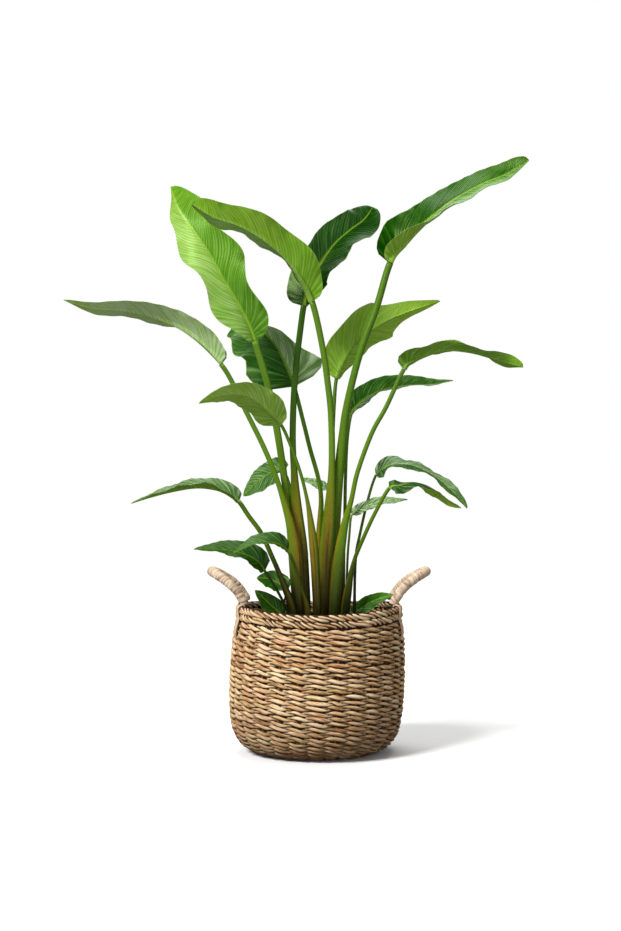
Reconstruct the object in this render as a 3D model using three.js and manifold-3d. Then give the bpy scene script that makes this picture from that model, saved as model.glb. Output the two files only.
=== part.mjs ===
// Potted bird of paradise in a round woven basket with two wrapped rope handles.
// Millimetres, +Z up. The origin is the centre of the basket's underside; the front is -Y.
import * as THREE from "three";
import { mergeVertices } from "three/addons/utils/BufferGeometryUtils.js";
import Module from "manifold-3d";

const wasm = await Module();
wasm.setup();

// ---------------------------------------------------------------- driving dimensions
const GAP = 0.3; // clearance between pieces that touch

const BASKET_RADIUS = 150; // at the widest, halfway up
const BASKET_HEIGHT = 244; // to the top of the rim, front and back
const FOOT_RADIUS = 96; // flat part of the underside
const WALL = 8; // woven wall, between the ridges
const STAKES = 28; // upright stakes round the basket
const ROWS = 14; // ridges of the weave, each two woven rows high
const STITCH_RELIEF = 1.6; // how far a stitch stands out
const RIM_LIFT = 7; // the rim rises this much towards each handle
const BASKET_LEAN = 5; // the mouth lies this far to the right of the foot
const RIM_BEAD = 5.5; // radius of the rope that edges the rim
const MOUTH_DRAW = 13; // how much less the mouth's radius is than the widest one

const HANDLE_HALF_SPAN = 42; // from the handle's middle to each leg
const HANDLE_RADIUS = 8.8; // wrapped rope of the grip
const HANDLE_LEG_RADIUS = 8; // wrapped rope of a leg, just above the rim

const POT_TOP_RADIUS = 118;
const POT_FOOT_RADIUS = 88;
const POT_HEIGHT = 216;
const POT_WALL = 2;
const POT_LIP = 4;

const SOIL_TOP = 203; // height of the soil at the pot's wall
const SOIL_CROWN = 6; // how much higher it lies at the middle
const SOIL_DEPTH = 185;
const STALK_FOOT = 163; // height of the stalks' lower ends, in the soil

const BLADE = 0.9; // thickness of a leaf blade
const WAVE_DRAW = 0.025; // how much narrower each millimetre of edge wave makes the blade
const BLADE_STEPS = 11; // along a long leaf
const SHORT_BLADE_STEPS = 8; // along a leaf under SHORT_LEAF
const SHORT_LEAF = 140;
const STALK_SIDES = 10;
const STALK_STEP = 48; // length of a stalk between its rings
const CURVE_DIVISIONS = 40; // steps that measure a curve's length, between two of its points
const ROPE_SIDES = 10;

// ---------------------------------------------------------------- leaves
// rib: the midrib from the stalk to the tip. left, right: the way each half of the blade spreads
// from the rib, at its base, middle and tip; left and right are as seen on the upper face with the
// tip upwards. half: greatest half-widths. curl: degrees that each half bends down (or up, below 0)
// from rib to edge. lobe: share of the rib over which the rounded base widens, left and right.
// taper: for each half, where along the rib it starts to narrow, how bluntly, and how round its tip
// is (1 is pointed, 0.5 is round). wave: height, count and start of the edge waves. stalk: from the
// blade down to the soil. stem: radius at the blade. sheath: how far up the stalk (0 to 1) its
// clasping base reaches, and that base's half-width and half-depth.
const LEAVES = [
  { // tall leaf on the left, its face to the front
    rib: [[-104, -34, 699], [-117, -38, 733], [-134, -40, 765], [-159, -36, 807], [-182, -27, 849],
      [-210, -12, 892], [-236, 8, 929], [-252, 34, 972]],
    left: [[-0.7, -0.6, -0.3], [-0.85, -0.25, -0.45], [-0.3, 0.9, -0.2]],
    right: [[0.7, -0.6, 0.3], [0.88, -0.25, 0.42], [0.75, 0.3, 0.6]],
    half: [47, 50], curl: [10, 10], lobe: [0.34, 0.3],
    taper: [[0.35, 1.8, 0.45], [0.7, 3, 0.5]], wave: [7, 2.5, 0.25],
    stalk: [[-83, -26, 629], [-67, -12, 552], [-54, 8, 464], [-44, 20, 380], [-38, 22, 300],
      [-34, 22, 238]],
    stem: 5.8, sheath: [0.45, 8, 6],
  },
  { // arching to the left across the first one, its underside to the front
    rib: [[-7, -30, 767], [-29, -44, 808], [-54, -56, 839], [-87, -72, 865], [-126, -88, 886],
      [-169, -100, 899], [-205, -104, 920]],
    left: [[0.6, -0.1, 0.75], [0.6, -0.1, 0.75], [0.3, -0.2, 0.9]],
    right: [[-0.15, 0.95, 0.25], [-0.05, 0.98, -0.15], [-0.1, 0.95, -0.3]],
    half: [40, 38], curl: [8, 4], lobe: [0.26, 0.2],
    taper: [[0.25, 1.4, 0.3], [0.3, 2, 0.38]], wave: [2.5, 3, 0],
    stalk: [[10, -22, 695], [20, -14, 629], [26, -6, 570], [27, -3, 481], [22, -1, 400],
      [17, 0, 330], [14, 0, 238]],
    stem: 5.2, sheath: [0.5, 12.5, 6],
  },
  { // dark leaf in the middle, leaning back to the right
    rib: [[-21, 8, 763], [-12, 22, 804], [7, 34, 838], [33, 48, 876], [62, 62, 903], [85, 76, 922],
      [101, 92, 946]],
    left: [[-0.75, 0.15, -0.65], [-0.7, 0.1, 0.65], [-0.6, 0.3, 0.7]],
    right: [[0.8, -0.5, -0.1], [0.55, -0.45, -0.7], [0.3, -0.4, -0.9]],
    half: [37, 38], curl: [10, -30], lobe: [0.12, 0.2],
    taper: [[0.6, 3, 0.45], [0.6, 3, 0.45]], wave: [2.5, 3, 0],
    stalk: [[-29, 12, 705], [-33, 14, 670], [-38, 14, 610], [-40, 11, 533], [-37, 8, 470],
      [-33, 6, 400], [-27, 5, 330], [-22, 4, 238]],
    stem: 5.2, sheath: [0.5, 15, 6],
  },
  { // highest leaf, reaching up to the right
    rib: [[127, 0, 836], [151, -6, 867], [176, -12, 894], [223, -22, 935], [278, -34, 965],
      [324, -44, 982], [358, -50, 1003]],
    left: [[-0.75, 0.1, 0.65], [-0.35, 0.8, 0.45], [-0.4, 0.3, 0.85]],
    right: [[-0.45, -0.75, 0.25], [0.2, -0.6, -0.75], [0.2, -0.6, -0.8]],
    half: [54, 37], curl: [-6, -55], lobe: [0.18, 0.3],
    taper: [[0.18, 1, 0.4], [0.4, 1.5, 0.5]], wave: [2.5, 4, 0],
    stalk: [[104, -4, 761], [75, -8, 681], [53, -6, 592], [45, 2, 532], [38, 9, 464],
      [34, 13, 400], [31, 14, 340], [30, 14, 238]],
    stem: 6, sheath: [0.62, 9.6, 6.4],
  },
  { // long leaf reaching out to the left
    rib: [[-164, 25, 664], [-195, 28, 697], [-227, 30, 722], [-253, 30, 735], [-294, 24, 749],
      [-334, 14, 755], [-384, 0, 758], [-430, -14, 771]],
    left: [[0.35, -0.4, 0.8], [0.2, -0.7, 0.67], [0.15, -0.6, 0.7]],
    right: [[0.75, 0.5, 0.45], [-0.1, 0.95, -0.2], [0, 0.85, -0.45]],
    half: [35, 34], curl: [6, 6], lobe: [0.2, 0.14],
    taper: [[0.3, 1.7, 0.9], [0.3, 1.7, 0.9]], wave: [2, 3, 0],
    stalk: [[-145, 20, 634], [-122, 13, 586], [-91, 3, 524], [-69, -4, 472], [-53, -8, 422],
      [-44, -10, 390], [-37, -10, 350], [-33, -10, 305], [-31, -10, 238]],
    stem: 4.6, sheath: [0.5, 11.5, 6],
  },
  { // broad dark leaf behind, leaning away
    rib: [[-38, 55, 627], [-51, 72, 662], [-63, 90, 689], [-82, 112, 716], [-106, 138, 738],
      [-130, 166, 749], [-146, 190, 747]],
    left: [[-0.8, -0.2, -0.45], [-0.85, -0.2, -0.3], [-0.7, -0.3, -0.5]],
    right: [[0.95, -0.2, -0.05], [0.5, -0.8, 0.1], [0.3, -0.9, 0.1]],
    half: [70, 66], curl: [12, 12], lobe: [0.12, 0.14],
    taper: [[0.5, 2.2, 0.6], [0.1, 0.65, 1.2]], wave: [3, 3, 0],
    stalk: [[-21, 52, 561], [-10, 50, 517], [4, 40, 467], [9, 30, 430], [7, 24, 380], [5, 20, 300],
      [5, 18, 238]],
    stem: 3.6, sheath: [0.55, 8, 5.5],
  },
  { // olive leaf at the front, arching over the left-hand stalks
    rib: [[-59, -52, 557], [-77, -70, 576], [-93, -84, 591], [-111, -98, 602], [-134, -112, 606],
      [-161, -128, 602], [-191, -142, 590]],
    left: [[0.5, -0.2, 0.75], [0.4, -0.3, 0.8], [0.3, -0.3, 0.8]],
    right: [[-0.3, 0.6, -0.6], [-0.35, 0.75, -0.45], [-0.2, 0.8, -0.5]],
    half: [30, 30], curl: [12, 12], lobe: [0.24, 0.26],
    taper: [[0.3, 1.6, 0.8], [0.3, 1.6, 0.8]], wave: [2, 3, 0],
    stalk: [[-46, -50, 530], [-27, -46, 478], [-15, -40, 430], [-8, -34, 385], [-3, -30, 340],
      [0, -28, 290], [2, -28, 238]],
    stem: 2.8, sheath: [0.65, 8.2, 5.2],
  },
  { // leaf behind on the right, its underside to the front
    rib: [[36, 60, 640], [48, 70, 672], [64, 80, 697], [89, 90, 721], [121, 98, 743],
      [162, 104, 761], [221, 108, 781]],
    left: [[0.35, 0.85, -0.35], [0.4, 0.7, -0.6], [0.2, 0.6, -0.7]],
    right: [[-0.75, 0.05, 0.65], [-0.6, 0, 0.8], [-0.3, -0.2, 0.9]],
    half: [34, 43], curl: [10, 8], lobe: [0.5, 0.33],
    taper: [[0.6, 0.4, 0.8], [0.57, 0.35, 0.6]], wave: [2.5, 3, 0],
    stalk: [[32, 50, 598], [29, 42, 533], [27, 36, 446], [25, 34, 342], [24, 34, 238]],
    stem: 3.2, sheath: [0.4, 6, 4.5],
  },
  { // slender leaf arching out to the right
    rib: [[149, -30, 652], [164, -34, 665], [183, -37, 674], [218, -40, 684], [260, -44, 680],
      [301, -48, 668], [348, -54, 654]],
    left: [[0.4, 0.85, 0.1], [0.1, 0.95, 0.2], [0.1, 0.9, -0.3]],
    right: [[-0.6, -0.3, 0.75], [0, -0.9, 0.45], [0.3, -0.5, 0.8]],
    half: [24, 31], curl: [6, 10], lobe: [0.2, 0.12],
    taper: [[0.35, 2, 0.5], [0.4, 3, 0.5]], wave: [8, 2, 0.05],
    stalk: [[119, -28, 588], [95, -26, 544], [71, -24, 479], [60, -22, 430], [49, -20, 390],
      [40, -20, 340], [34, -20, 290], [31, -20, 238]],
    stem: 3.8, sheath: [0.5, 11, 6],
  },
  { // leaf behind it, lower and straighter
    rib: [[61, 28, 578], [71, 36, 592], [87, 44, 606], [119, 54, 622], [165, 66, 630],
      [205, 76, 632], [242, 84, 639]],
    left: [[-0.5, 0.4, 0.6], [-0.3, 0.4, 0.8], [-0.1, 0.6, 0.7]],
    right: [[0.4, -0.85, 0], [0.15, -0.98, -0.03], [0.1, -0.95, -0.1]],
    half: [27, 23], curl: [12, 12], lobe: [0.2, 0.2],
    taper: [[0.35, 1.9, 0.9], [0.35, 1.9, 0.9]], wave: [2, 3, 0],
    stalk: [[54, 24, 533], [51, 24, 464], [50, 26, 400], [48, 27, 340], [46, 27, 238]],
    stem: 2.8, sheath: [0.4, 5, 4.5],
  },
  { // low leaf on the right, arching down to the front
    rib: [[103, 8, 472], [116, -8, 484], [132, -26, 491], [162, -50, 489], [195, -70, 473],
      [224, -84, 448], [250, -94, 418]],
    left: [[-0.5, 0.8, 0.2], [0.1, 0.9, 0.3], [0.6, 0.6, 0.5]],
    right: [[0.3, -0.9, 0.1], [0.2, -0.9, -0.25], [-0.1, -0.95, -0.3]],
    half: [25, 21], curl: [12, 12], lobe: [0.16, 0.2],
    taper: [[0.5, 2.6, 0.7], [0.5, 2.6, 0.7]], wave: [2.5, 3, 0],
    stalk: [[90, 8, 433], [76, 8, 373], [68, 8, 327], [66, 8, 238]],
    stem: 2.4, sheath: [0.3, 3.6, 3.2],
  },
  { // the lowest leaf on the right
    rib: [[123, -62, 451], [140, -62, 456], [163, -58, 461], [185, -52, 456], [206, -46, 443],
      [226, -42, 428], [245, -40, 417]],
    left: [[-0.3, 0.6, 0.6], [-0.1, 0.9, -0.3], [-0.6, 0.3, -0.75]],
    right: [[0.3, -0.6, -0.6], [0.1, -0.95, -0.1], [0.2, -0.9, 0.3]],
    half: [22, 22], curl: [12, 12], lobe: [0.2, 0.2],
    taper: [[0.3, 1.7, 0.85], [0.3, 1.7, 0.85]], wave: [2, 3, 0],
    stalk: [[100, -58, 411], [80, -54, 368], [63, -50, 325], [54, -46, 279], [49, -42, 238]],
    stem: 3.2, sheath: [0.5, 8.5, 5],
  },
  { // small leaf between the right-hand stalks
    rib: [[61, -4, 404], [74, -8, 414], [90, -12, 421], [111, -18, 428], [133, -24, 429],
      [155, -30, 431]],
    left: [[-0.3, 0.6, 0.6], [-0.2, 0.75, 0.6], [0, 0.7, 0.6]],
    right: [[0.2, -0.8, -0.4], [0.1, -0.9, -0.35], [0, -0.9, -0.3]],
    half: [14, 14], curl: [12, 12], lobe: [0.25, 0.25],
    taper: [[0.35, 1.8, 0.85], [0.35, 1.8, 0.85]], wave: [1, 3, 0],
    stalk: [[57, 0, 368], [54, 5, 324], [52, 9, 238]],
    stem: 2, sheath: [0.3, 3, 3],
  },
  { // low leaf on the left, long and folded
    rib: [[-131, -30, 428], [-147, -32, 440], [-169, -34, 449], [-203, -36, 452], [-244, -38, 445],
      [-281, -40, 435], [-312, -42, 425]],
    left: [[-0.3, -0.8, 0.2], [0.1, -0.9, 0.35], [0.1, -0.9, 0.3]],
    right: [[0.5, 0.6, 0.5], [0.1, 0.75, 0.65], [0, 0.8, 0.5]],
    half: [27, 27], curl: [10, 14], lobe: [0.2, 0.12],
    taper: [[0.3, 1.6, 0.85], [0.3, 1.6, 0.85]], wave: [2.5, 4, 0],
    stalk: [[-114, -30, 403], [-93, -30, 374], [-75, -30, 335], [-56, -30, 290], [-39, -30, 238]],
    stem: 4, sheath: [0.5, 7.5, 5],
  },
  { // low leaf at the front left
    rib: [[-86, -60, 312], [-96, -68, 327], [-112, -76, 338], [-135, -86, 346], [-159, -96, 350],
      [-182, -104, 351], [-201, -110, 351]],
    left: [[-0.3, -0.9, -0.1], [-0.1, -0.95, -0.2], [0, -0.95, -0.15]],
    right: [[0.5, 0.4, 0.6], [0.25, 0.7, 0.6], [0.1, 0.7, 0.5]],
    half: [24, 28], curl: [12, 12], lobe: [0.2, 0.14],
    taper: [[0.3, 1.7, 0.85], [0.3, 1.7, 0.85]], wave: [2, 3, 0],
    stalk: [[-69, -56, 285], [-54, -51, 256], [-46, -48, 232]],
    stem: 2.3, sheath: [0.3, 3.4, 3],
  },
  { // low leaf at the front, over the last one's stalk
    rib: [[-47, -64, 345], [-59, -74, 356], [-75, -86, 361], [-95, -98, 362], [-111, -108, 357],
      [-125, -116, 351], [-136, -122, 345]],
    left: [[-0.1, -0.95, 0.05], [-0.1, -0.98, -0.05], [0, -0.98, -0.05]],
    right: [[0.4, 0.5, 0.75], [0.15, 0.8, 0.55], [0.1, 0.8, 0.5]],
    half: [17, 22], curl: [12, 12], lobe: [0.2, 0.2],
    taper: [[0.35, 1.8, 0.85], [0.35, 1.8, 0.85]], wave: [1.5, 3, 0],
    stalk: [[-37, -62, 324], [-25, -58, 285], [-14, -54, 243]],
    stem: 2.6, sheath: [0.6, 6, 4],
  },
  { // leaf at the back left
    rib: [[-57, 58, 478], [-68, 70, 483], [-86, 86, 473], [-103, 100, 461], [-117, 112, 448],
      [-130, 122, 434]],
    left: [[0.1, -0.7, -0.6], [0.3, -0.6, -0.7], [0.3, -0.6, -0.7]],
    right: [[0, 0.6, 0.7], [-0.3, 0.4, 0.75], [-0.3, 0.4, 0.75]],
    half: [24, 24], curl: [12, 12], lobe: [0.25, 0.25],
    taper: [[0.4, 1.9, 0.85], [0.4, 1.9, 0.85]], wave: [1.5, 3, 0],
    stalk: [[-46, 56, 453], [-35, 52, 376], [-29, 48, 300], [-26, 46, 238]],
    stem: 2.6, sheath: [0.4, 5, 4],
  },
  { // small leaf at the back
    rib: [[25, 62, 442], [11, 74, 452], [-3, 86, 459], [-16, 96, 463], [-26, 104, 466]],
    left: [[-0.1, -0.7, -0.5], [-0.1, -0.8, -0.4], [-0.1, -0.8, -0.4]],
    right: [[0.1, 0.6, 0.7], [0.1, 0.6, 0.7], [0.1, 0.6, 0.7]],
    half: [10, 10], curl: [12, 12], lobe: [0.25, 0.25],
    taper: [[0.35, 1.8, 0.85], [0.35, 1.8, 0.85]], wave: [0.8, 2, 0],
    stalk: [[25, 62, 393], [18, 62, 323], [10, 58, 238]],
    stem: 1.9, sheath: [0.3, 3, 3],
  },
  { // short leaf inside the clump, behind on the left
    rib: [[-50, 36, 272], [-60, 44, 281], [-74, 54, 288], [-88, 66, 291], [-104, 76, 291]],
    left: [[0, -0.7, -0.6], [0, -0.7, -0.6], [0, -0.7, -0.6]],
    right: [[0.3, 0.4, 0.8], [0, 0.4, 0.9], [0, 0.4, 0.9]],
    half: [17, 18], curl: [12, 12], lobe: [0.25, 0.25],
    taper: [[0.4, 2, 0.85], [0.4, 2, 0.85]], wave: [1.2, 3, 0],
    stalk: [[-56, 34, 250], [-61, 34, 225]],
    stem: 2, sheath: [0.3, 2.6, 2.6],
  },
  { // short leaf just inside the rim, front left
    rib: [[-56, -28, 231], [-66, -32, 243], [-78, -36, 254], [-90, -40, 266], [-103, -42, 278]],
    left: [[-0.6, -0.5, -0.5], [-0.6, -0.5, -0.5], [-0.6, -0.5, -0.5]],
    right: [[0.6, 0.3, 0.7], [0.6, 0.3, 0.7], [0.6, 0.3, 0.7]],
    half: [16, 17], curl: [10, 10], lobe: [0.25, 0.25],
    taper: [[0.35, 1.7, 0.85], [0.35, 1.7, 0.85]], wave: [1, 3, 0],
    stalk: [[-58, -26, 214]],
    stem: 2, sheath: [0.3, 2.6, 2.6],
  },
  { // short leaf just inside the rim, back right
    rib: [[63, 26, 231], [80, 30, 243], [99, 30, 254], [117, 27, 261], [134, 23, 265]],
    left: [[-0.4, 0.6, 0.6], [-0.3, 0.6, 0.6], [-0.1, 0.7, 0.5]],
    right: [[0.3, -0.7, -0.5], [0.2, -0.8, -0.4], [0.1, -0.8, -0.3]],
    half: [17, 17], curl: [10, 10], lobe: [0.25, 0.25],
    taper: [[0.4, 2, 0.85], [0.4, 2, 0.85]], wave: [1, 3, 0],
    stalk: [[59, 26, 214]],
    stem: 2, sheath: [0.3, 2.6, 2.6],
  },
];

// ---------------------------------------------------------------- finishes
const finish = (color, roughness) =>
  new THREE.MeshStandardMaterial({ color, roughness, metalness: 0 });
const upperGreen = finish(0x3f7d1c, 0.35);
const stalkGreen = finish(0x5f8a2c, 0.45);
const seagrass = finish(0xc79f66, 0.85);
const jute = finish(0xe4cba8, 0.9);
const blackPlastic = finish(0x1c1c1a, 0.5);
const soilBrown = finish(0x3b2a1c, 1);

// ---------------------------------------------------------------- shape helpers
const vec = (p) => new THREE.Vector3(...p);
const lerp = THREE.MathUtils.lerp;
const smoothstep = THREE.MathUtils.smoothstep;
const degToRad = THREE.MathUtils.degToRad;

// The curve through hand-set points, walked by its length.
function curveThrough(points) {
  const curve = new THREE.CatmullRomCurve3(points, false, "catmullrom", 0.5);
  curve.arcLengthDivisions = CURVE_DIVISIONS * (points.length - 1);
  return curve;
}

// One curve from a leaf's foot in the soil to its tip. joint is how far along it the blade starts,
// and gap is half of what parts the blade from the stalk there, both as shares of its length.
function leafCurve(leaf) {
  const stalk = leaf.stalk.map(vec).reverse();
  const foot = stalk[0].clone().setZ(STALK_FOOT);
  const curve = curveThrough([foot, ...stalk, ...leaf.rib.map(vec)]);
  const lengths = curve.getLengths();
  const length = lengths.at(-1);
  const joint = lengths[CURVE_DIVISIONS * (stalk.length + 1)] / length;
  return { curve, length, joint, gap: GAP / 2 / length };
}

// The vector that passes through three given ones at t = 0, 0.5 and 1.
function blend3([a, b, c], t) {
  return vec(a).multiplyScalar((1 - t) * (1 - 2 * t))
    .addScaledVector(vec(b), 4 * t * (1 - t))
    .addScaledVector(vec(c), t * (2 * t - 1));
}

// The part of v at right angles to the unit vector t, made one unit long.
const across = (v, t) => v.clone().addScaledVector(t, -v.dot(t)).normalize();

// A closed body from a row of rings with equally many points, all wound the same way. Each cap fans
// out from the ring's point number hub. From the point number turned on, the faces are split along
// their other diagonal: on a thin sheet both skins are then split alike and never cross.
function loft(rings, hub = 0, turned = Infinity) {
  const sides = rings[0].length;
  const index = [];
  for (let i = 0; i + 1 < rings.length; i++) {
    for (let j = 0; j < sides; j++) {
      const a = i * sides + j;
      const b = i * sides + ((j + 1) % sides);
      if (j < turned) {
        index.push(a, b, b + sides, a, b + sides, a + sides);
      } else {
        index.push(a, b, a + sides, b, b + sides, a + sides);
      }
    }
  }
  const last = (rings.length - 1) * sides;
  for (let k = 1; k + 1 < sides; k++) {
    const p = (hub + k) % sides;
    const q = (hub + k + 1) % sides;
    index.push(hub, q, p);
    index.push(last + hub, last + p, last + q);
  }
  const geometry = new THREE.BufferGeometry();
  const flat = rings.flat().flatMap((p) => p.toArray());
  geometry.setAttribute("position", new THREE.Float32BufferAttribute(flat, 3));
  geometry.setIndex(index);
  return geometry;
}

// manifold-3d and back again.
function toSolid(geometry) {
  const bare = geometry.clone();
  bare.deleteAttribute("normal");
  bare.deleteAttribute("uv");
  const merged = mergeVertices(bare, 1e-3);
  const vertProperties = new Float32Array(merged.attributes.position.array);
  const triVerts = new Uint32Array(merged.index.array);
  return new wasm.Manifold(new wasm.Mesh({ numProp: 3, vertProperties, triVerts }));
}

function toGeometry(solid) {
  const { vertProperties, triVerts } = solid.getMesh();
  const geometry = new THREE.BufferGeometry();
  geometry.setAttribute("position", new THREE.BufferAttribute(vertProperties, 3));
  geometry.setIndex(new THREE.BufferAttribute(triVerts, 1));
  return geometry;
}

const object = new THREE.Group();

function addMesh(name, geometry, material) {
  geometry.computeVertexNormals();
  const mesh = new THREE.Mesh(geometry, material);
  mesh.name = name;
  object.add(mesh);
}

// ---------------------------------------------------------------- leaf blade
// Half-width of a blade at t along its rib, as a share of the greatest: a quarter ellipse over the
// rounded base, full width, then a taper to the tip, which a roundness below 1 makes blunt.
function bladeOutline(t, lobe, [shoulder, bluntness, roundness]) {
  const rounding = t < lobe ? Math.sqrt(1 - (1 - t / lobe) ** 2) : 1;
  const beyond = Math.max(0, (t - shoulder) / (1 - shoulder));
  return rounding * Math.max(0, 1 - beyond ** bluntness) ** roundness;
}

// A point of the blade's cross-section, s = 0 at the rib to 1 at the edge: an arc that starts along
// "out" and bends away from "up" by curl radians.
function bladeArc(s, width, curl, out, up) {
  const bend = curl * s;
  const along = Math.abs(curl) < 1e-3 ? s : Math.sin(bend) / curl;
  const down = Math.abs(curl) < 1e-3 ? 0 : (1 - Math.cos(bend)) / curl;
  const point = out.clone().multiplyScalar(width * along).addScaledVector(up, -width * down);
  const normal = up.clone().multiplyScalar(Math.cos(bend)).addScaledVector(out, Math.sin(bend));
  return { point, normal };
}

// One ring round the blade: over the upper face from the left edge to the right one, and back
// under it, with the rib's keel in the middle.
function bladeRing(leaf, path, t) {
  const at = lerp(path.joint + path.gap, 1, t);
  const centre = path.curve.getPointAt(at);
  const along = path.curve.getTangentAt(at);
  const ribRadius = lerp(leaf.stem * 0.8, 0.5, t ** 0.7);
  const [waveHeight, waveCount, waveStart] = leaf.wave;
  const sides = ["left", "right"].map((side, i) => {
    const out = across(blend3(leaf[side], t), along);
    const up = side === "left" ? along.clone().cross(out) : out.clone().cross(along);
    const reach = bladeOutline(t, leaf.lobe[i], leaf.taper[i]);
    const wave = Math.sin(2 * Math.PI * (waveCount * t + waveStart + 0.37 * i));
    const ripple = wave * waveHeight;
    const drawnIn = 1 - WAVE_DRAW * waveHeight * (1 + wave);
    const width = leaf.half[i] * reach * drawnIn + ribRadius * 1.2;
    const curl = degToRad(leaf.curl[i]);
    const besideRib = ribRadius / width;
    return [besideRib, (1 + besideRib) / 2, 1].map((s) => {
      const { point, normal } = bladeArc(s, width, curl, out, up);
      const top = centre.clone().add(point).addScaledVector(normal, ripple * reach * s * s);
      const keel = s === besideRib ? ribRadius * 0.8 : 0;
      const under = top.clone().addScaledVector(normal, -BLADE - keel);
      return { top, under, up };
    });
  });
  const [left, right] = sides;
  const up = left[0].up.clone().add(right[0].up).normalize();
  const top = centre.clone();
  const under = centre.clone().addScaledVector(up, -BLADE - ribRadius * 1.5);
  return [
    ...left.map((p) => p.top).reverse(), top, ...right.map((p) => p.top),
    ...right.map((p) => p.under).reverse(), under, ...left.map((p) => p.under),
  ];
}

const MIDDLE_OF_RING = 3; // the point of a blade ring that lies on the rib, on the upper face
const UNDER_OF_RING = 7; // the first point on the underside

function makeBlade(leaf) {
  const path = leafCurve(leaf);
  const steps = path.length * (1 - path.joint) < SHORT_LEAF ? SHORT_BLADE_STEPS : BLADE_STEPS;
  const rings = [];
  for (let i = 0; i <= steps; i++) {
    const even = i / steps;
    const eased = (1 - Math.cos(Math.PI * even)) / 2;
    rings.push(bladeRing(leaf, path, lerp(even, eased, 0.75)));
  }
  return loft(rings, MIDDLE_OF_RING, UNDER_OF_RING);
}

// ---------------------------------------------------------------- leaf stalk
// The stalk from the soil (u = 0) to the blade (u = 1): a round stem, channelled on its upper side,
// that widens downwards into a flat clasping sheath.
function makeStalk(leaf, grow = 0) {
  const [sheathTop, sheathWide, sheathDeep] = leaf.sheath;
  const { curve, length, joint, gap } = leafCurve(leaf);
  const steps = Math.max(4, Math.round((length * joint) / STALK_STEP));
  const upperSide = vec(leaf.left[0]).add(vec(leaf.right[0])).normalize();
  const rings = [];
  for (let i = 0; i <= steps; i++) {
    const u = i / steps;
    const at = u * (joint - gap);
    const centre = curve.getPointAt(at);
    const along = curve.getTangentAt(at);
    if (i === 0) centre.z -= grow;
    const wide = across(new THREE.Vector3(1, 0, 0), along);
    const deep = along.clone().cross(wide);
    const clasp = 1 - smoothstep(u, sheathTop - 0.22, sheathTop + 0.06);
    const stem = leaf.stem * lerp(1.15, 1, u);
    const halfWide = lerp(stem, sheathWide * lerp(0.85, 1, u / sheathTop), clasp) + grow;
    const halfDeep = lerp(stem, sheathDeep, clasp) + grow;
    const channel = across(upperSide.clone().setY(upperSide.y - 0.001), along);
    const ring = [];
    for (let j = 0; j < STALK_SIDES; j++) {
      const angle = (2 * Math.PI * j) / STALK_SIDES;
      const spoke = wide.clone().multiplyScalar(Math.cos(angle))
        .addScaledVector(deep, Math.sin(angle));
      const facing = Math.max(0, spoke.dot(channel));
      const groove = 1 - 0.25 * facing ** 8 * (1 - clasp);
      ring.push(centre.clone()
        .addScaledVector(wide, Math.cos(angle) * halfWide * groove)
        .addScaledVector(deep, Math.sin(angle) * halfDeep * groove));
    }
    rings.push(ring);
  }
  return loft(rings);
}

// ---------------------------------------------------------------- basket
// Outer radius of the woven wall at a height: a flat foot, a round shoulder, a belly and a slightly
// narrower mouth.
const wallCurve = new THREE.CatmullRomCurve3([
  new THREE.Vector3(FOOT_RADIUS, 0, 0),
  new THREE.Vector3(BASKET_RADIUS - 27, 11, 0),
  new THREE.Vector3(BASKET_RADIUS - 11, 30, 0),
  new THREE.Vector3(BASKET_RADIUS - 4, 54, 0),
  new THREE.Vector3(BASKET_RADIUS - 0.5, 90, 0),
  new THREE.Vector3(BASKET_RADIUS, 140, 0),
  new THREE.Vector3(BASKET_RADIUS - 2.5, 186, 0),
  new THREE.Vector3(BASKET_RADIUS - 0.5 * MOUTH_DRAW, 213, 0),
  new THREE.Vector3(BASKET_RADIUS - MOUTH_DRAW, BASKET_HEIGHT - 2 * RIM_BEAD, 0),
], false, "catmullrom", 0.5);

// Middle of the rope that edges the rim: its distance from the axis, and its height at the front.
const beadRadius = BASKET_RADIUS - MOUTH_DRAW;
const beadHeight = BASKET_HEIGHT - RIM_BEAD;

// How far the rim's rise at the handles lifts a point of the wall.
const liftAt = (height, angle) =>
  RIM_LIFT * Math.cos(angle) ** 2 * smoothstep(height, 150, BASKET_HEIGHT);

// How far the wall has leant over at a height.
const leanAt = (height) => BASKET_LEAN * smoothstep(height, 40, BASKET_HEIGHT);

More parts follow.
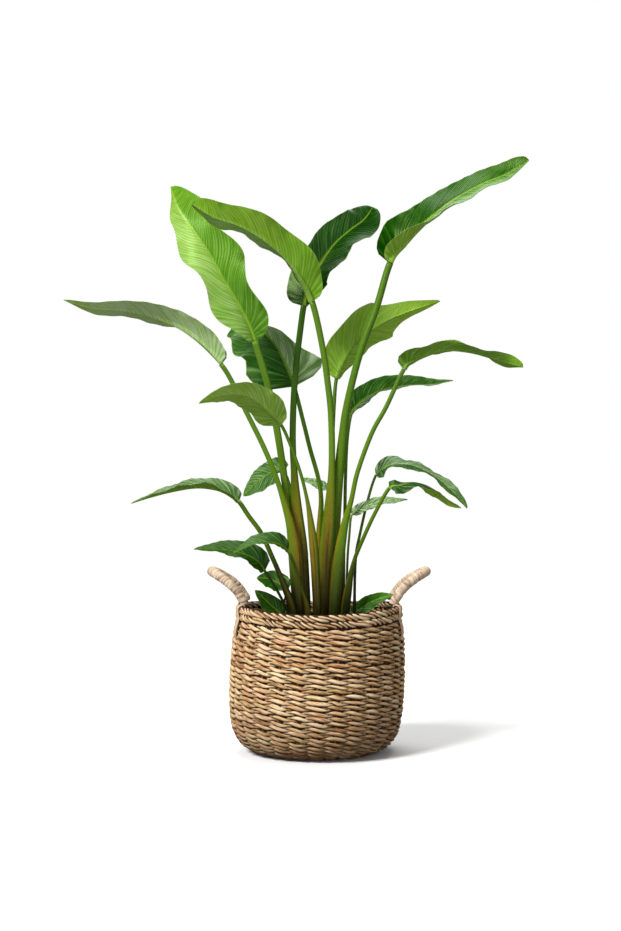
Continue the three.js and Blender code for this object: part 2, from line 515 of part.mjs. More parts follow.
// Each point of the profile carries its own share of the stitch relief. The body is a lathe whose
// points then move out at the stitches and up towards the handles.
function makeBasket() {
  const profile = [new THREE.Vector2(0, 0)];
  const relief = [0];
  const steps = ROWS * 2;
  for (let i = 0; i <= steps; i++) {
    const p = wallCurve.getPointAt(i / steps);
    profile.push(new THREE.Vector2(p.x, p.y));
    relief.push(i === 0 || i === steps ? 0 : (i % 2 ? 1 : -1));
  }
  for (const degrees of [-40, 20, 90, 160, 220]) {
    const angle = degToRad(degrees);
    profile.push(new THREE.Vector2(
      beadRadius + RIM_BEAD * Math.cos(angle), beadHeight + RIM_BEAD * Math.sin(angle)));
    relief.push(0);
  }
  for (const t of [0.93, 0.7, 0.45, 0.25, 0.12]) {
    const p = wallCurve.getPointAt(t);
    const slope = wallCurve.getTangentAt(t);
    profile.push(new THREE.Vector2(p.x - slope.y * WALL, p.y + slope.x * WALL));
    relief.push(0);
  }
  profile.push(new THREE.Vector2(FOOT_RADIUS - 4, WALL), new THREE.Vector2(0, WALL));
  relief.push(0, 0);
  const turns = STAKES * 2;
  const lathe = new THREE.LatheGeometry(profile, turns);
  lathe.rotateX(Math.PI / 2);
  const position = lathe.attributes.position;
  for (let turn = 0; turn <= turns; turn++) {
    for (let k = 0; k < profile.length; k++) {
      const at = turn * profile.length + k;
      const radius = profile[k].x;
      const stitch = relief[k] * (turn % 2 ? 1 : 0.35) * STITCH_RELIEF;
      const angle = (2 * Math.PI * turn) / turns;
      position.setXYZ(at, (radius + stitch) * Math.cos(angle) + leanAt(profile[k].y),
        (radius + stitch) * Math.sin(angle), profile[k].y + liftAt(profile[k].y, angle));
    }
  }
  return toGeometry(toSolid(lathe));
}

// ---------------------------------------------------------------- handles
// A wrapped rope in a tilted loop. Each leg flattens into a strap that lies over the rim and down
// the outside of the wall.
function makeHandle(side) {
  const legAngle = Math.asin(HANDLE_HALF_SPAN / beadRadius);
  const rimHeight = beadHeight + RIM_LIFT * Math.cos(legAngle) ** 2;
  const overRim = (degrees, deep) => {
    const angle = degToRad(degrees);
    const reach = RIM_BEAD + 3 * GAP + deep;
    return [beadRadius + reach * Math.cos(angle), rimHeight + reach * Math.sin(angle)];
  };
  // distance from the basket's axis, height, radius across and radius in depth of the rope
  const strap = 1.9;
  const clear = STITCH_RELIEF + GAP + strap;
  const onWall = (height) => {
    const points = wallCurve.getSpacedPoints(ROWS * 2);
    const next = points.findIndex(({ y }) => y + liftAt(y, legAngle) > height);
    return [points[next - 1].x + clear, height];
  };
  const leg = [
    [...onWall(201), 4.8, strap],
    [...onWall(213), 5.6, strap],
    [...onWall(225), 6.2, strap],
    [...overRim(-30, strap), 6.5, strap],
    [...overRim(10, strap), 6.7, strap],
    [...overRim(45, strap), 6.8, strap],
    [...overRim(72, 3.4), 7, 3.2],
    [...overRim(92, 7.2), HANDLE_LEG_RADIUS, 6.8],
  ];
  const onLeg = (radius, height) =>
    new THREE.Vector3(radius * Math.cos(legAngle), -radius * Math.sin(legAngle), height);
  // outward is the way that the strap's flat side faces
  const stations = leg.map(([radius, height, wide, deep]) => ({
    at: onLeg(radius, height),
    wide,
    deep,
    outward: onLeg(radius, height).sub(onLeg(beadRadius, Math.min(height, rimHeight))),
  }));
  const loop = [[131.5, -41.5, 266], [139, -39.5, 277], [151, -35, 288.5], [165, -26, 298],
    [176.5, -13, 304.5], [183, 0, 307.5]];
  loop.forEach((point, i) => {
    const rope = lerp(HANDLE_LEG_RADIUS, HANDLE_RADIUS, i / (loop.length - 1));
    const at = vec(point);
    const outward = new THREE.Vector3(at.x - 118, at.y * 0.4, at.z - 250);
    stations.push({ at, wide: rope, deep: rope, outward });
  });
  const flip = new THREE.Vector3(1, -1, 1);
  const mirrored = stations.slice(0, -1).reverse()
    .map(({ at, wide, deep, outward }) =>
      ({ at: at.clone().multiply(flip), wide, deep, outward: outward.clone().multiply(flip) }));
  stations.push(...mirrored);
  const curve = curveThrough(stations.map(({ at }) => at));
  const rings = stations.map(({ at, wide, deep, outward }, i) => {
    const along = curve.getTangent(i / (stations.length - 1)).normalize();
    const facing = across(outward, along);
    const sideways = along.clone().cross(facing);
    const ring = [];
    for (let j = 0; j < ROPE_SIDES; j++) {
      const angle = (2 * Math.PI * j) / ROPE_SIDES;
      const p = at.clone().addScaledVector(facing, Math.cos(angle) * deep)
        .addScaledVector(sideways, Math.sin(angle) * wide);
      ring.push(new THREE.Vector3(side * p.x + leanAt(at.z), side * p.y, p.z));
    }
    return ring;
  });
  return loft(rings);
}

// ---------------------------------------------------------------- grow pot and soil
function makePot() {
  const foot = WALL + GAP;
  const top = foot + POT_HEIGHT;
  const profile = [
    [0, foot], [POT_FOOT_RADIUS, foot], [POT_TOP_RADIUS - 3, top - 22], [POT_TOP_RADIUS, top - 20],
    [POT_TOP_RADIUS, top - 2], [POT_TOP_RADIUS + POT_LIP, top], [POT_TOP_RADIUS + POT_LIP, top + 2],
    [POT_TOP_RADIUS - POT_WALL, top + 2], [POT_TOP_RADIUS - POT_WALL, top - 20],
    [POT_TOP_RADIUS - 3 - POT_WALL, top - 22], [POT_FOOT_RADIUS - POT_WALL, foot + POT_WALL],
    [0, foot + POT_WALL],
  ].map(([radius, height]) => new THREE.Vector2(radius, height));
  return new THREE.LatheGeometry(profile, 32).rotateX(Math.PI / 2);
}

// The soil fills the pot, and each stalk stands in its own hole.
function makeSoil() {
  const foot = WALL + GAP + POT_WALL + GAP;
  const clear = 1.5;
  const footRadius = POT_FOOT_RADIUS - POT_WALL - clear;
  const topRadius = POT_TOP_RADIUS - POT_WALL - clear - 5;
  const profile = [
    [0, SOIL_TOP - SOIL_DEPTH], [footRadius + 2, SOIL_TOP - SOIL_DEPTH], [topRadius, SOIL_TOP - 6],
    [topRadius - 1, SOIL_TOP], [topRadius - 30, SOIL_TOP + SOIL_CROWN * 0.6],
    [0, SOIL_TOP + SOIL_CROWN],
  ].map(([radius, height]) => new THREE.Vector2(radius, Math.max(height, foot)));
  let soil = toSolid(new THREE.LatheGeometry(profile, 32).rotateX(Math.PI / 2));
  for (const leaf of LEAVES) {
    soil = soil.subtract(toSolid(makeStalk(leaf, GAP)));
  }
  return toGeometry(soil);
}

// ---------------------------------------------------------------- the object
addMesh("basket", makeBasket(), seagrass);
addMesh("handle_left", makeHandle(-1), jute);
addMesh("handle_right", makeHandle(1), jute);
addMesh("grow_pot", makePot(), blackPlastic);
addMesh("soil", makeSoil(), soilBrown);
LEAVES.forEach((leaf, i) => {
  const number = String(i + 1).padStart(2, "0");
  addMesh(`leaf_${number}_blade`, makeBlade(leaf), upperGreen);
  addMesh(`leaf_${number}_stalk`, makeStalk(leaf), stalkGreen);
});

export default object;
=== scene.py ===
"""Potted bird of paradise in a woven seagrass basket: its look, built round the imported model."""
import math

import bpy
import numpy as np
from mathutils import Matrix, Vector


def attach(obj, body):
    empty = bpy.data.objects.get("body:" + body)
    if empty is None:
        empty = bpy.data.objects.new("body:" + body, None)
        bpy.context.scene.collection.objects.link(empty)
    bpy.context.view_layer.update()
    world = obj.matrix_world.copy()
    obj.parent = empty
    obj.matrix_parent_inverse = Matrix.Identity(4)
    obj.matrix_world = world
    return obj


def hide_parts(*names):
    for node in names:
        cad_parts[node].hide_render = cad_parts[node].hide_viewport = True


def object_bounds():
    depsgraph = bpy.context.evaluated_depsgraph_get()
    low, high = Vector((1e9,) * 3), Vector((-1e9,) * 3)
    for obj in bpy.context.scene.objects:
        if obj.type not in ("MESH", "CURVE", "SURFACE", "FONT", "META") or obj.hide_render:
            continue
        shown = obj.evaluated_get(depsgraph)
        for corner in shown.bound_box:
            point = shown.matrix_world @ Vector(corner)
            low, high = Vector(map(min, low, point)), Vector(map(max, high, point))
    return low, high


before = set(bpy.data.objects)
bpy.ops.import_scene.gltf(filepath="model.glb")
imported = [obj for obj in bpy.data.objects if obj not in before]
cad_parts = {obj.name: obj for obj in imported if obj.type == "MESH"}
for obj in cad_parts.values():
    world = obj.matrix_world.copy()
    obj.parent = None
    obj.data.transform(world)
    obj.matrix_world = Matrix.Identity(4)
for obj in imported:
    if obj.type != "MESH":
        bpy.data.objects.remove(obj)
CAD_BOX = [list(corner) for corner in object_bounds()]

MM = 0.001
TAU = 2 * math.pi

# ---------------------------------------------------------------- driving dimensions, millimetres
GAP = 0.3  # clearance between pieces

BASKET_RADIUS = 150
BASKET_HEIGHT = 244
FOOT_RADIUS = 96
WALL = 8
STAKES = 28
STITCH_RELIEF = 1.6
RIM_LIFT = 7  # the rim rises this much towards each handle
BASKET_LEAN = 5  # the mouth lies this far to the right of the foot
RIM_BEAD = 5.5  # radius of the rope that edges the rim
MOUTH_DRAW = 13  # how much less the mouth's radius is than the widest one
WALL_ROW = 8.64  # height of a woven row

HANDLE_HALF_SPAN = 42  # from a handle's middle to its legs
HANDLE_RADIUS = 8.8
HANDLE_LEG_RADIUS = 8

POT_TOP_RADIUS = 118
POT_FOOT_RADIUS = 88
POT_HEIGHT = 216
POT_WALL = 2
POT_LIP = 4

SOIL_TOP = 203
SOIL_CROWN = 6  # how much higher the soil lies in its middle
STALK_FOOT = 163  # height of the stalks' feet, inside the soil

BLADE = 0.6  # thickness of a leaf blade
WAVE_DRAW = 0.025  # how much narrower each millimetre of edge wave makes the blade
VEIN_PITCH = 6.5  # between a blade's side veins
VEIN_SLANT = 1.3  # how far a side vein runs forwards for each millimetre outwards
CURVE_DIVISIONS = 40  # steps in which each span of a curve is measured

# ---------------------------------------------------------------- leaves
# rib: the midrib from the stalk to the tip. left, right: the way each half of the blade spreads
# from the rib, at its base, middle and tip. half: greatest half-widths. curl: degrees that each
# half bends down. lobe: share of the rib over which each half's rounded base widens. taper: for
# each half, where it starts to narrow, how late it does so, and how bluntly it ends. wave: height,
# count and start of the edge waves. stalk: from the blade down to the soil. stem: radius at the
# blade. sheath: how far up the stalk its clasping base reaches, and that base's half-width and
# half-depth. tone: how light the upper face's two halves and the underside are, from 0, the
# darkest green, to 1, lime; the tones are partly painted light, set lighter for light that shines
# through the blades and onto their undersides. bloom: how much pale painted sheen lies on each
# half, partly the leaf's own waxy coating and partly the sheen of light on it. stem_tone: how much
# lighter, or below 0 darker, the stalk is. seam: where round the sheath its bronze margin lies, in
# degrees from +X, with 270 at the front.
USUAL = dict(curl=[12, 12], lobe=[0.25, 0.25], taper=[[0.35, 1.8, 0.85]] * 2, wave=[2, 3, 0],
             stem_tone=0, seam=250)
LEAVES = [
    dict(USUAL,  # tall leaf on the left, its face to the front
        rib=[[-104, -34, 699], [-117, -38, 733], [-134, -40, 765], [-159, -36, 807],
        [-182, -27, 849], [-210, -12, 892], [-236, 8, 929], [-252, 34, 972]],
        left=[[-0.7, -0.6, -0.3], [-0.85, -0.25, -0.45], [-0.3, 0.9, -0.2]],
        right=[[0.7, -0.6, 0.3], [0.88, -0.25, 0.42], [0.75, 0.3, 0.6]],
        stalk=[[-83, -26, 629], [-67, -12, 552], [-54, 8, 464], [-44, 20, 380], [-38, 22, 300],
        [-34, 22, 238]],
        half=[47, 50], curl=[10, 10], lobe=[0.34, 0.3], taper=[[0.35, 1.8, 0.45], [0.7, 3, 0.5]],
        wave=[7, 2.5, 0.25], stem=5.8, sheath=[0.45, 8, 6], tone=[0.87, 0.6, 0.6],
        bloom=[0.3, 0.06], stem_tone=0.5, seam=300),
    dict(USUAL,  # arching to the left across the first one, its underside to the front
        rib=[[-7, -30, 767], [-29, -44, 808], [-54, -56, 839], [-87, -72, 865], [-126, -88, 886],
        [-169, -100, 899], [-205, -104, 920]],
        left=[[0.6, -0.1, 0.75], [0.6, -0.1, 0.75], [0.3, -0.2, 0.9]],
        right=[[-0.15, 0.95, 0.25], [-0.05, 0.98, -0.15], [-0.1, 0.95, -0.3]],
        stalk=[[10, -22, 695], [20, -14, 629], [26, -6, 570], [27, -3, 481], [22, -1, 400],
        [17, 0, 330], [14, 0, 238]],
        half=[40, 38], curl=[8, 4], lobe=[0.26, 0.2], taper=[[0.25, 1.4, 0.3], [0.3, 2, 0.38]],
        wave=[2.5, 3, 0], stem=5.2, sheath=[0.5, 12.5, 6], tone=[0.35, 0.4, 0.66],
        bloom=[0.06, 0.45], stem_tone=0.5, seam=290),
    dict(USUAL,  # dark leaf in the middle, leaning back to the right
        rib=[[-21, 8, 763], [-12, 22, 804], [7, 34, 838], [33, 48, 876], [62, 62, 903],
        [85, 76, 922], [101, 92, 946]],
        left=[[-0.75, 0.15, -0.65], [-0.7, 0.1, 0.65], [-0.6, 0.3, 0.7]],
        right=[[0.8, -0.5, -0.1], [0.55, -0.45, -0.7], [0.3, -0.4, -0.9]],
        stalk=[[-29, 12, 705], [-33, 14, 670], [-38, 14, 610], [-40, 11, 533], [-37, 8, 470],
        [-33, 6, 400], [-27, 5, 330], [-22, 4, 238]],
        half=[37, 38], curl=[10, -30], lobe=[0.12, 0.2], taper=[[0.6, 3, 0.45]] * 2,
        wave=[2.5, 3, 0], stem=5.2, sheath=[0.5, 15, 6], tone=[0.14, 0.12, 0.6], bloom=[0.04, 0],
        stem_tone=-0.35, seam=300),
    dict(USUAL,  # highest leaf, reaching up to the right
        rib=[[127, 0, 836], [151, -6, 867], [176, -12, 894], [223, -22, 935], [278, -34, 965],
        [324, -44, 982], [358, -50, 1003]],
        left=[[-0.75, 0.1, 0.65], [-0.35, 0.8, 0.45], [-0.4, 0.3, 0.85]],
        right=[[-0.45, -0.75, 0.25], [0.2, -0.6, -0.75], [0.2, -0.6, -0.8]],
        stalk=[[104, -4, 761], [75, -8, 681], [53, -6, 592], [45, 2, 532], [38, 9, 464],
        [34, 13, 400], [31, 14, 340], [30, 14, 238]],
        half=[54, 37], curl=[-6, -55], lobe=[0.18, 0.3], taper=[[0.18, 1, 0.4], [0.4, 1.5, 0.5]],
        wave=[2.5, 4, 0], stem=6, sheath=[0.62, 9.6, 6.4], tone=[0.27, 0.45, 0.82], bloom=[0, 0.12],
        stem_tone=0.3, seam=200),
    dict(USUAL,  # long leaf reaching out to the left
        rib=[[-164, 25, 664], [-195, 28, 697], [-227, 30, 722], [-253, 30, 735], [-294, 24, 749],
        [-334, 14, 755], [-384, 0, 758], [-430, -14, 771]],
        left=[[0.35, -0.4, 0.8], [0.2, -0.7, 0.67], [0.15, -0.6, 0.7]],
        right=[[0.75, 0.5, 0.45], [-0.1, 0.95, -0.2], [0, 0.85, -0.45]],
        stalk=[[-145, 20, 634], [-122, 13, 586], [-91, 3, 524], [-69, -4, 472], [-53, -8, 422],
        [-44, -10, 390], [-37, -10, 350], [-33, -10, 305], [-31, -10, 238]],
        half=[35, 34], curl=[6, 6], lobe=[0.2, 0.14], taper=[[0.3, 1.7, 0.9]] * 2, stem=4.6,
        sheath=[0.5, 11.5, 6], tone=[0.3, 0.3, 0.82], bloom=[1, 0.8], stem_tone=0.3, seam=330),
    dict(USUAL,  # broad dark leaf behind, leaning away
        rib=[[-38, 55, 627], [-51, 72, 662], [-63, 90, 689], [-82, 112, 716], [-106, 138, 738],
        [-130, 166, 749], [-146, 190, 747]],
        left=[[-0.8, -0.2, -0.45], [-0.85, -0.2, -0.3], [-0.7, -0.3, -0.5]],
        right=[[0.95, -0.2, -0.05], [0.5, -0.8, 0.1], [0.3, -0.9, 0.1]],
        stalk=[[-21, 52, 561], [-10, 50, 517], [4, 40, 467], [9, 30, 430], [7, 24, 380],
        [5, 20, 300], [5, 18, 238]],
        half=[70, 66], lobe=[0.12, 0.14], taper=[[0.5, 2.2, 0.6], [0.1, 0.65, 1.2]], wave=[3, 3, 0],
        stem=3.6, sheath=[0.55, 8, 5.5], tone=[0.28, 0.6, 0.5], bloom=[0.04, 0.8]),
    dict(USUAL,  # olive leaf at the front, arching over the left-hand stalks
        rib=[[-59, -52, 557], [-77, -70, 576], [-93, -84, 591], [-111, -98, 602], [-134, -112, 606],
        [-161, -128, 602], [-191, -142, 590]],
        left=[[0.5, -0.2, 0.75], [0.4, -0.3, 0.8], [0.3, -0.3, 0.8]],
        right=[[-0.3, 0.6, -0.6], [-0.35, 0.75, -0.45], [-0.2, 0.8, -0.5]],
        stalk=[[-46, -50, 530], [-27, -46, 478], [-15, -40, 430], [-8, -34, 385], [-3, -30, 340],
        [0, -28, 290], [2, -28, 238]],
        half=[30, 30], lobe=[0.24, 0.26], taper=[[0.3, 1.6, 0.8]] * 2, stem=2.8,
        sheath=[0.65, 8.2, 5.2], tone=[0.35, 0.35, 0.78], bloom=[0.25, 0.2], stem_tone=0.1,
        seam=280),
    dict(USUAL,  # leaf behind on the right, its underside to the front
        rib=[[36, 60, 640], [48, 70, 672], [64, 80, 697], [89, 90, 721], [121, 98, 743],
        [162, 104, 761], [221, 108, 781]],
        left=[[0.35, 0.85, -0.35], [0.4, 0.7, -0.6], [0.2, 0.6, -0.7]],
        right=[[-0.75, 0.05, 0.65], [-0.6, 0, 0.8], [-0.3, -0.2, 0.9]],
        stalk=[[32, 50, 598], [29, 42, 533], [27, 36, 446], [25, 34, 342], [24, 34, 238]],
        half=[34, 43], curl=[10, 8], lobe=[0.5, 0.33], taper=[[0.6, 0.4, 0.8], [0.57, 0.35, 0.6]],
        wave=[2.5, 3, 0], stem=3.2, sheath=[0.4, 6, 4.5], tone=[0.25, 0.28, 0.8],
        bloom=[0.12, 0.12], stem_tone=0.1),
    dict(USUAL,  # slender leaf arching out to the right
        rib=[[149, -30, 652], [164, -34, 665], [183, -37, 674], [218, -40, 684], [260, -44, 680],
        [301, -48, 668], [348, -54, 654]],
        left=[[0.4, 0.85, 0.1], [0.1, 0.95, 0.2], [0.1, 0.9, -0.3]],
        right=[[-0.6, -0.3, 0.75], [0, -0.9, 0.45], [0.3, -0.5, 0.8]],
        stalk=[[119, -28, 588], [95, -26, 544], [71, -24, 479], [60, -22, 430], [49, -20, 390],
        [40, -20, 340], [34, -20, 290], [31, -20, 238]],
        half=[24, 31], curl=[6, 10], lobe=[0.2, 0.12], taper=[[0.35, 2, 0.5], [0.4, 3, 0.5]],
        wave=[8, 2, 0.05], stem=3.8, sheath=[0.5, 11, 6], tone=[0.3, 0.3, 0.6], bloom=[0.1, 0.12],
        stem_tone=0.3, seam=215),
    dict(USUAL,  # leaf behind it, lower and straighter
        rib=[[61, 28, 578], [71, 36, 592], [87, 44, 606], [119, 54, 622], [165, 66, 630],
        [205, 76, 632], [242, 84, 639]],
        left=[[-0.5, 0.4, 0.6], [-0.3, 0.4, 0.8], [-0.1, 0.6, 0.7]],
        right=[[0.4, -0.85, 0], [0.15, -0.98, -0.03], [0.1, -0.95, -0.1]],
        stalk=[[54, 24, 533], [51, 24, 464], [50, 26, 400], [48, 27, 340], [46, 27, 238]],
        half=[27, 23], lobe=[0.2, 0.2], taper=[[0.35, 1.9, 0.9]] * 2, stem=2.8,
        sheath=[0.4, 5, 4.5], tone=[0.31, 0.3, 0.5], bloom=[0.04, 0.25], stem_tone=0.1),
    dict(USUAL,  # low leaf on the right, arching down to the front
        rib=[[103, 8, 472], [116, -8, 484], [132, -26, 491], [162, -50, 489], [195, -70, 473],
        [224, -84, 448], [250, -94, 418]],
        left=[[-0.5, 0.8, 0.2], [0.1, 0.9, 0.3], [0.6, 0.6, 0.5]],
        right=[[0.3, -0.9, 0.1], [0.2, -0.9, -0.25], [-0.1, -0.95, -0.3]],
        stalk=[[90, 8, 433], [76, 8, 373], [68, 8, 327], [66, 8, 238]],
        half=[25, 21], lobe=[0.16, 0.2], taper=[[0.5, 2.6, 0.7]] * 2, wave=[2.5, 3, 0], stem=2.4,
        sheath=[0.3, 3.6, 3.2], tone=[0.34, 0.3, 0.55], bloom=[0.35, 0.08], stem_tone=-0.5),
    dict(USUAL,  # the lowest leaf on the right
        rib=[[123, -62, 451], [140, -62, 456], [163, -58, 461], [185, -52, 456], [206, -46, 443],
        [226, -42, 428], [245, -40, 417]],
        left=[[-0.3, 0.6, 0.6], [-0.1, 0.9, -0.3], [-0.6, 0.3, -0.75]],
        right=[[0.3, -0.6, -0.6], [0.1, -0.95, -0.1], [0.2, -0.9, 0.3]],
        stalk=[[100, -58, 411], [80, -54, 368], [63, -50, 325], [54, -46, 279], [49, -42, 238]],
        half=[22, 22], lobe=[0.2, 0.2], taper=[[0.3, 1.7, 0.85]] * 2, stem=3.2,
        sheath=[0.5, 8.5, 5], tone=[0.33, 0.3, 0.85], bloom=[0.1, 0.1], seam=215),
    dict(USUAL,  # small leaf between the right-hand stalks
        rib=[[61, -4, 404], [74, -8, 414], [90, -12, 421], [111, -18, 428], [133, -24, 429],
        [155, -30, 431]],
        left=[[-0.3, 0.6, 0.6], [-0.2, 0.75, 0.6], [0, 0.7, 0.6]],
        right=[[0.2, -0.8, -0.4], [0.1, -0.9, -0.35], [0, -0.9, -0.3]],
        stalk=[[57, 0, 368], [54, 5, 324], [52, 9, 238]],
        half=[14, 14], wave=[1, 3, 0], stem=2, sheath=[0.3, 3, 3], tone=[0.33, 0.33, 0.5],
        bloom=[0.5, 0.5]),
    dict(USUAL,  # low leaf on the left, long and folded
        rib=[[-131, -30, 428], [-147, -32, 440], [-169, -34, 449], [-203, -36, 452],
        [-244, -38, 445], [-281, -40, 435], [-312, -42, 425]],
        left=[[-0.3, -0.8, 0.2], [0.1, -0.9, 0.35], [0.1, -0.9, 0.3]],
        right=[[0.5, 0.6, 0.5], [0.1, 0.75, 0.65], [0, 0.8, 0.5]],
        stalk=[[-114, -30, 403], [-93, -30, 374], [-75, -30, 335], [-56, -30, 290],
        [-39, -30, 238]],
        half=[27, 27], curl=[10, 14], lobe=[0.2, 0.12], taper=[[0.3, 1.6, 0.85]] * 2,
        wave=[2.5, 4, 0], stem=4, sheath=[0.5, 7.5, 5], tone=[0.34, 0.38, 0.6], bloom=[0.05, 0.25],
        stem_tone=-0.2, seam=300),
    dict(USUAL,  # low leaf at the front left
        rib=[[-86, -60, 312], [-96, -68, 327], [-112, -76, 338], [-135, -86, 346], [-159, -96, 350],
        [-182, -104, 351], [-201, -110, 351]],
        left=[[-0.3, -0.9, -0.1], [-0.1, -0.95, -0.2], [0, -0.95, -0.15]],
        right=[[0.5, 0.4, 0.6], [0.25, 0.7, 0.6], [0.1, 0.7, 0.5]],
        stalk=[[-69, -56, 285], [-54, -51, 256], [-46, -48, 232]],
        half=[24, 28], lobe=[0.2, 0.14], taper=[[0.3, 1.7, 0.85]] * 2, stem=2.3,
        sheath=[0.3, 3.4, 3], tone=[0.28, 0.26, 0.5], bloom=[0, 0.08], seam=300),
    dict(USUAL,  # low leaf at the front, over the last one's stalk
        rib=[[-47, -64, 345], [-59, -74, 356], [-75, -86, 361], [-95, -98, 362], [-111, -108, 357],
        [-125, -116, 351], [-136, -122, 345]],
        left=[[-0.1, -0.95, 0.05], [-0.1, -0.98, -0.05], [0, -0.98, -0.05]],
        right=[[0.4, 0.5, 0.75], [0.15, 0.8, 0.55], [0.1, 0.8, 0.5]],
        stalk=[[-37, -62, 324], [-25, -58, 285], [-14, -54, 243]],
        half=[17, 22], lobe=[0.2, 0.2], wave=[1.5, 3, 0], stem=2.6, sheath=[0.6, 6, 4],
        tone=[0.34, 0.32, 0.5], bloom=[0.02, 0.08], stem_tone=0.2, seam=300),
    dict(USUAL,  # leaf at the back left
        rib=[[-57, 58, 478], [-68, 70, 483], [-86, 86, 473], [-103, 100, 461], [-117, 112, 448],
        [-130, 122, 434]],
        left=[[0.1, -0.7, -0.6], [0.3, -0.6, -0.7], [0.3, -0.6, -0.7]],
        right=[[0, 0.6, 0.7], [-0.3, 0.4, 0.75], [-0.3, 0.4, 0.75]],
        stalk=[[-46, 56, 453], [-35, 52, 376], [-29, 48, 300], [-26, 46, 238]],
        half=[24, 24], taper=[[0.4, 1.9, 0.85]] * 2, wave=[1.5, 3, 0], stem=2.6, sheath=[0.4, 5, 4],
        tone=[0.36, 0.4, 0.5], bloom=[0.15, 0.2]),
    dict(USUAL,  # small leaf at the back
        rib=[[25, 62, 442], [11, 74, 452], [-3, 86, 459], [-16, 96, 463], [-26, 104, 466]],
        left=[[-0.1, -0.7, -0.5], [-0.1, -0.8, -0.4], [-0.1, -0.8, -0.4]],
        right=[[0.1, 0.6, 0.7]] * 3,
        stalk=[[25, 62, 393], [18, 62, 323], [10, 58, 238]],
        half=[10, 10], wave=[0.8, 2, 0], stem=1.9, sheath=[0.3, 3, 3], tone=[0.4, 0.4, 0.4],
        bloom=[0.4, 0.4]),
    dict(USUAL,  # short leaf inside the clump, behind on the left
        rib=[[-50, 36, 272], [-60, 44, 281], [-74, 54, 288], [-88, 66, 291], [-104, 76, 291]],
        left=[[0, -0.7, -0.6]] * 3, right=[[0.3, 0.4, 0.8], [0, 0.4, 0.9], [0, 0.4, 0.9]],
        stalk=[[-56, 34, 250], [-61, 34, 225]],
        half=[17, 18], taper=[[0.4, 2, 0.85]] * 2, wave=[1.2, 3, 0], stem=2, sheath=[0.3, 2.6, 2.6],
        tone=[0.26, 0.26, 0.4], bloom=[0, 0.06]),
    dict(USUAL,  # short leaf just inside the rim, front left
        rib=[[-56, -28, 231], [-66, -32, 243], [-78, -36, 254], [-90, -40, 266], [-103, -42, 278]],
        left=[[-0.6, -0.5, -0.5]] * 3, right=[[0.6, 0.3, 0.7]] * 3,
        stalk=[[-58, -26, 214]],
        half=[16, 17], curl=[10, 10], taper=[[0.35, 1.7, 0.85]] * 2, wave=[1, 3, 0], stem=2,
        sheath=[0.3, 2.6, 2.6], tone=[0.26, 0.26, 0.4], bloom=[0, 0.06]),
    dict(USUAL,  # short leaf just inside the rim, back right
        rib=[[63, 26, 231], [80, 30, 243], [99, 30, 254], [117, 27, 261], [134, 23, 265]],
        left=[[-0.4, 0.6, 0.6], [-0.3, 0.6, 0.6], [-0.1, 0.7, 0.5]],
        right=[[0.3, -0.7, -0.5], [0.2, -0.8, -0.4], [0.1, -0.8, -0.3]],
        stalk=[[59, 26, 214]],
        half=[17, 17], curl=[10, 10], taper=[[0.4, 2, 0.85]] * 2, wave=[1, 3, 0], stem=2,
        sheath=[0.3, 2.6, 2.6], tone=[0.3, 0.3, 0.4], bloom=[0, 0.05]),
]


# ---------------------------------------------------------------- curves and frames
class Curve:
    """A uniform Catmull-Rom curve through given points, walked by its length."""

    def __init__(self, points):
        points = np.asarray(points, float)
        first = 2 * points[0] - points[1]
        last = 2 * points[-1] - points[-2]
        self.spans = len(points) - 1
        self.knots = np.vstack([first, points, last])
        self.steps = np.linspace(0, self.spans, CURVE_DIVISIONS * self.spans + 1)
        chords = np.linalg.norm(np.diff(self.point(self.steps), axis=0), axis=1)
        self.lengths = np.concatenate([[0], np.cumsum(chords)])
        self.length = self.lengths[-1]

    def point(self, step, slope=False):
        """The point, or with slope the way on, at a number of spans from the start."""
        span = np.minimum(step.astype(int), self.spans - 1)
        t = (step - span)[..., None]
        before, here, there, after = (self.knots[span + k] for k in range(4))
        leave = 0.5 * (there - before)
        arrive = 0.5 * (after - here)
        cubic = 2 * here - 2 * there + leave + arrive
        square = -3 * here + 3 * there - 2 * leave - arrive
        if slope:
            return 3 * cubic * t * t + 2 * square * t + leave
        return ((cubic * t + square) * t + leave) * t + here

    def at(self, share):
        """Points and unit tangents at shares of the length."""
        step = np.interp(share * self.length, self.lengths, self.steps)
        return self.point(step), unit(self.point(step, slope=True))


def unit(v):
    return v / np.maximum(np.linalg.norm(v, axis=-1, keepdims=True), 1e-12)


def across(v, along):
    """The part of v at right angles to the unit vectors along, made one unit long."""
    return unit(v - along * np.sum(v * along, axis=-1, keepdims=True))


def lerp(a, b, t):
    return a + (b - a) * t


def smoothstep(x, low, high):
    t = np.clip((x - low) / (high - low), 0, 1)
    return t * t * (3 - 2 * t)


def gauss(x):
    return np.exp(-(x ** 2))


def column(values):
    return np.asarray(values, float)[..., None]


def join(*parts):
    """Vectors from their parts, each stretched to the shape that all of them share."""
    return np.stack(np.broadcast_arrays(*parts), axis=-1)


def round_angles(count):
    return np.arange(count) / count * TAU


def wound(angle, run, radius=1):
    """Points on a cylinder, which patterns also follow so that they close without a seam."""
    return join(radius * np.cos(angle), radius * np.sin(angle), run)


def oval(wide, deep, angle, half_wide=1, half_deep=1):
    """Rings round the origin, each in the plane of its two unit vectors."""
    return (wide[:, None] * column(np.cos(angle) * half_wide)
            + deep[:, None] * column(np.sin(angle) * half_deep))


# ---------------------------------------------------------------- mesh building
def put(name, data):
    piece = bpy.data.objects.new(name, data)
    bpy.context.scene.collection.objects.link(piece)
    return piece


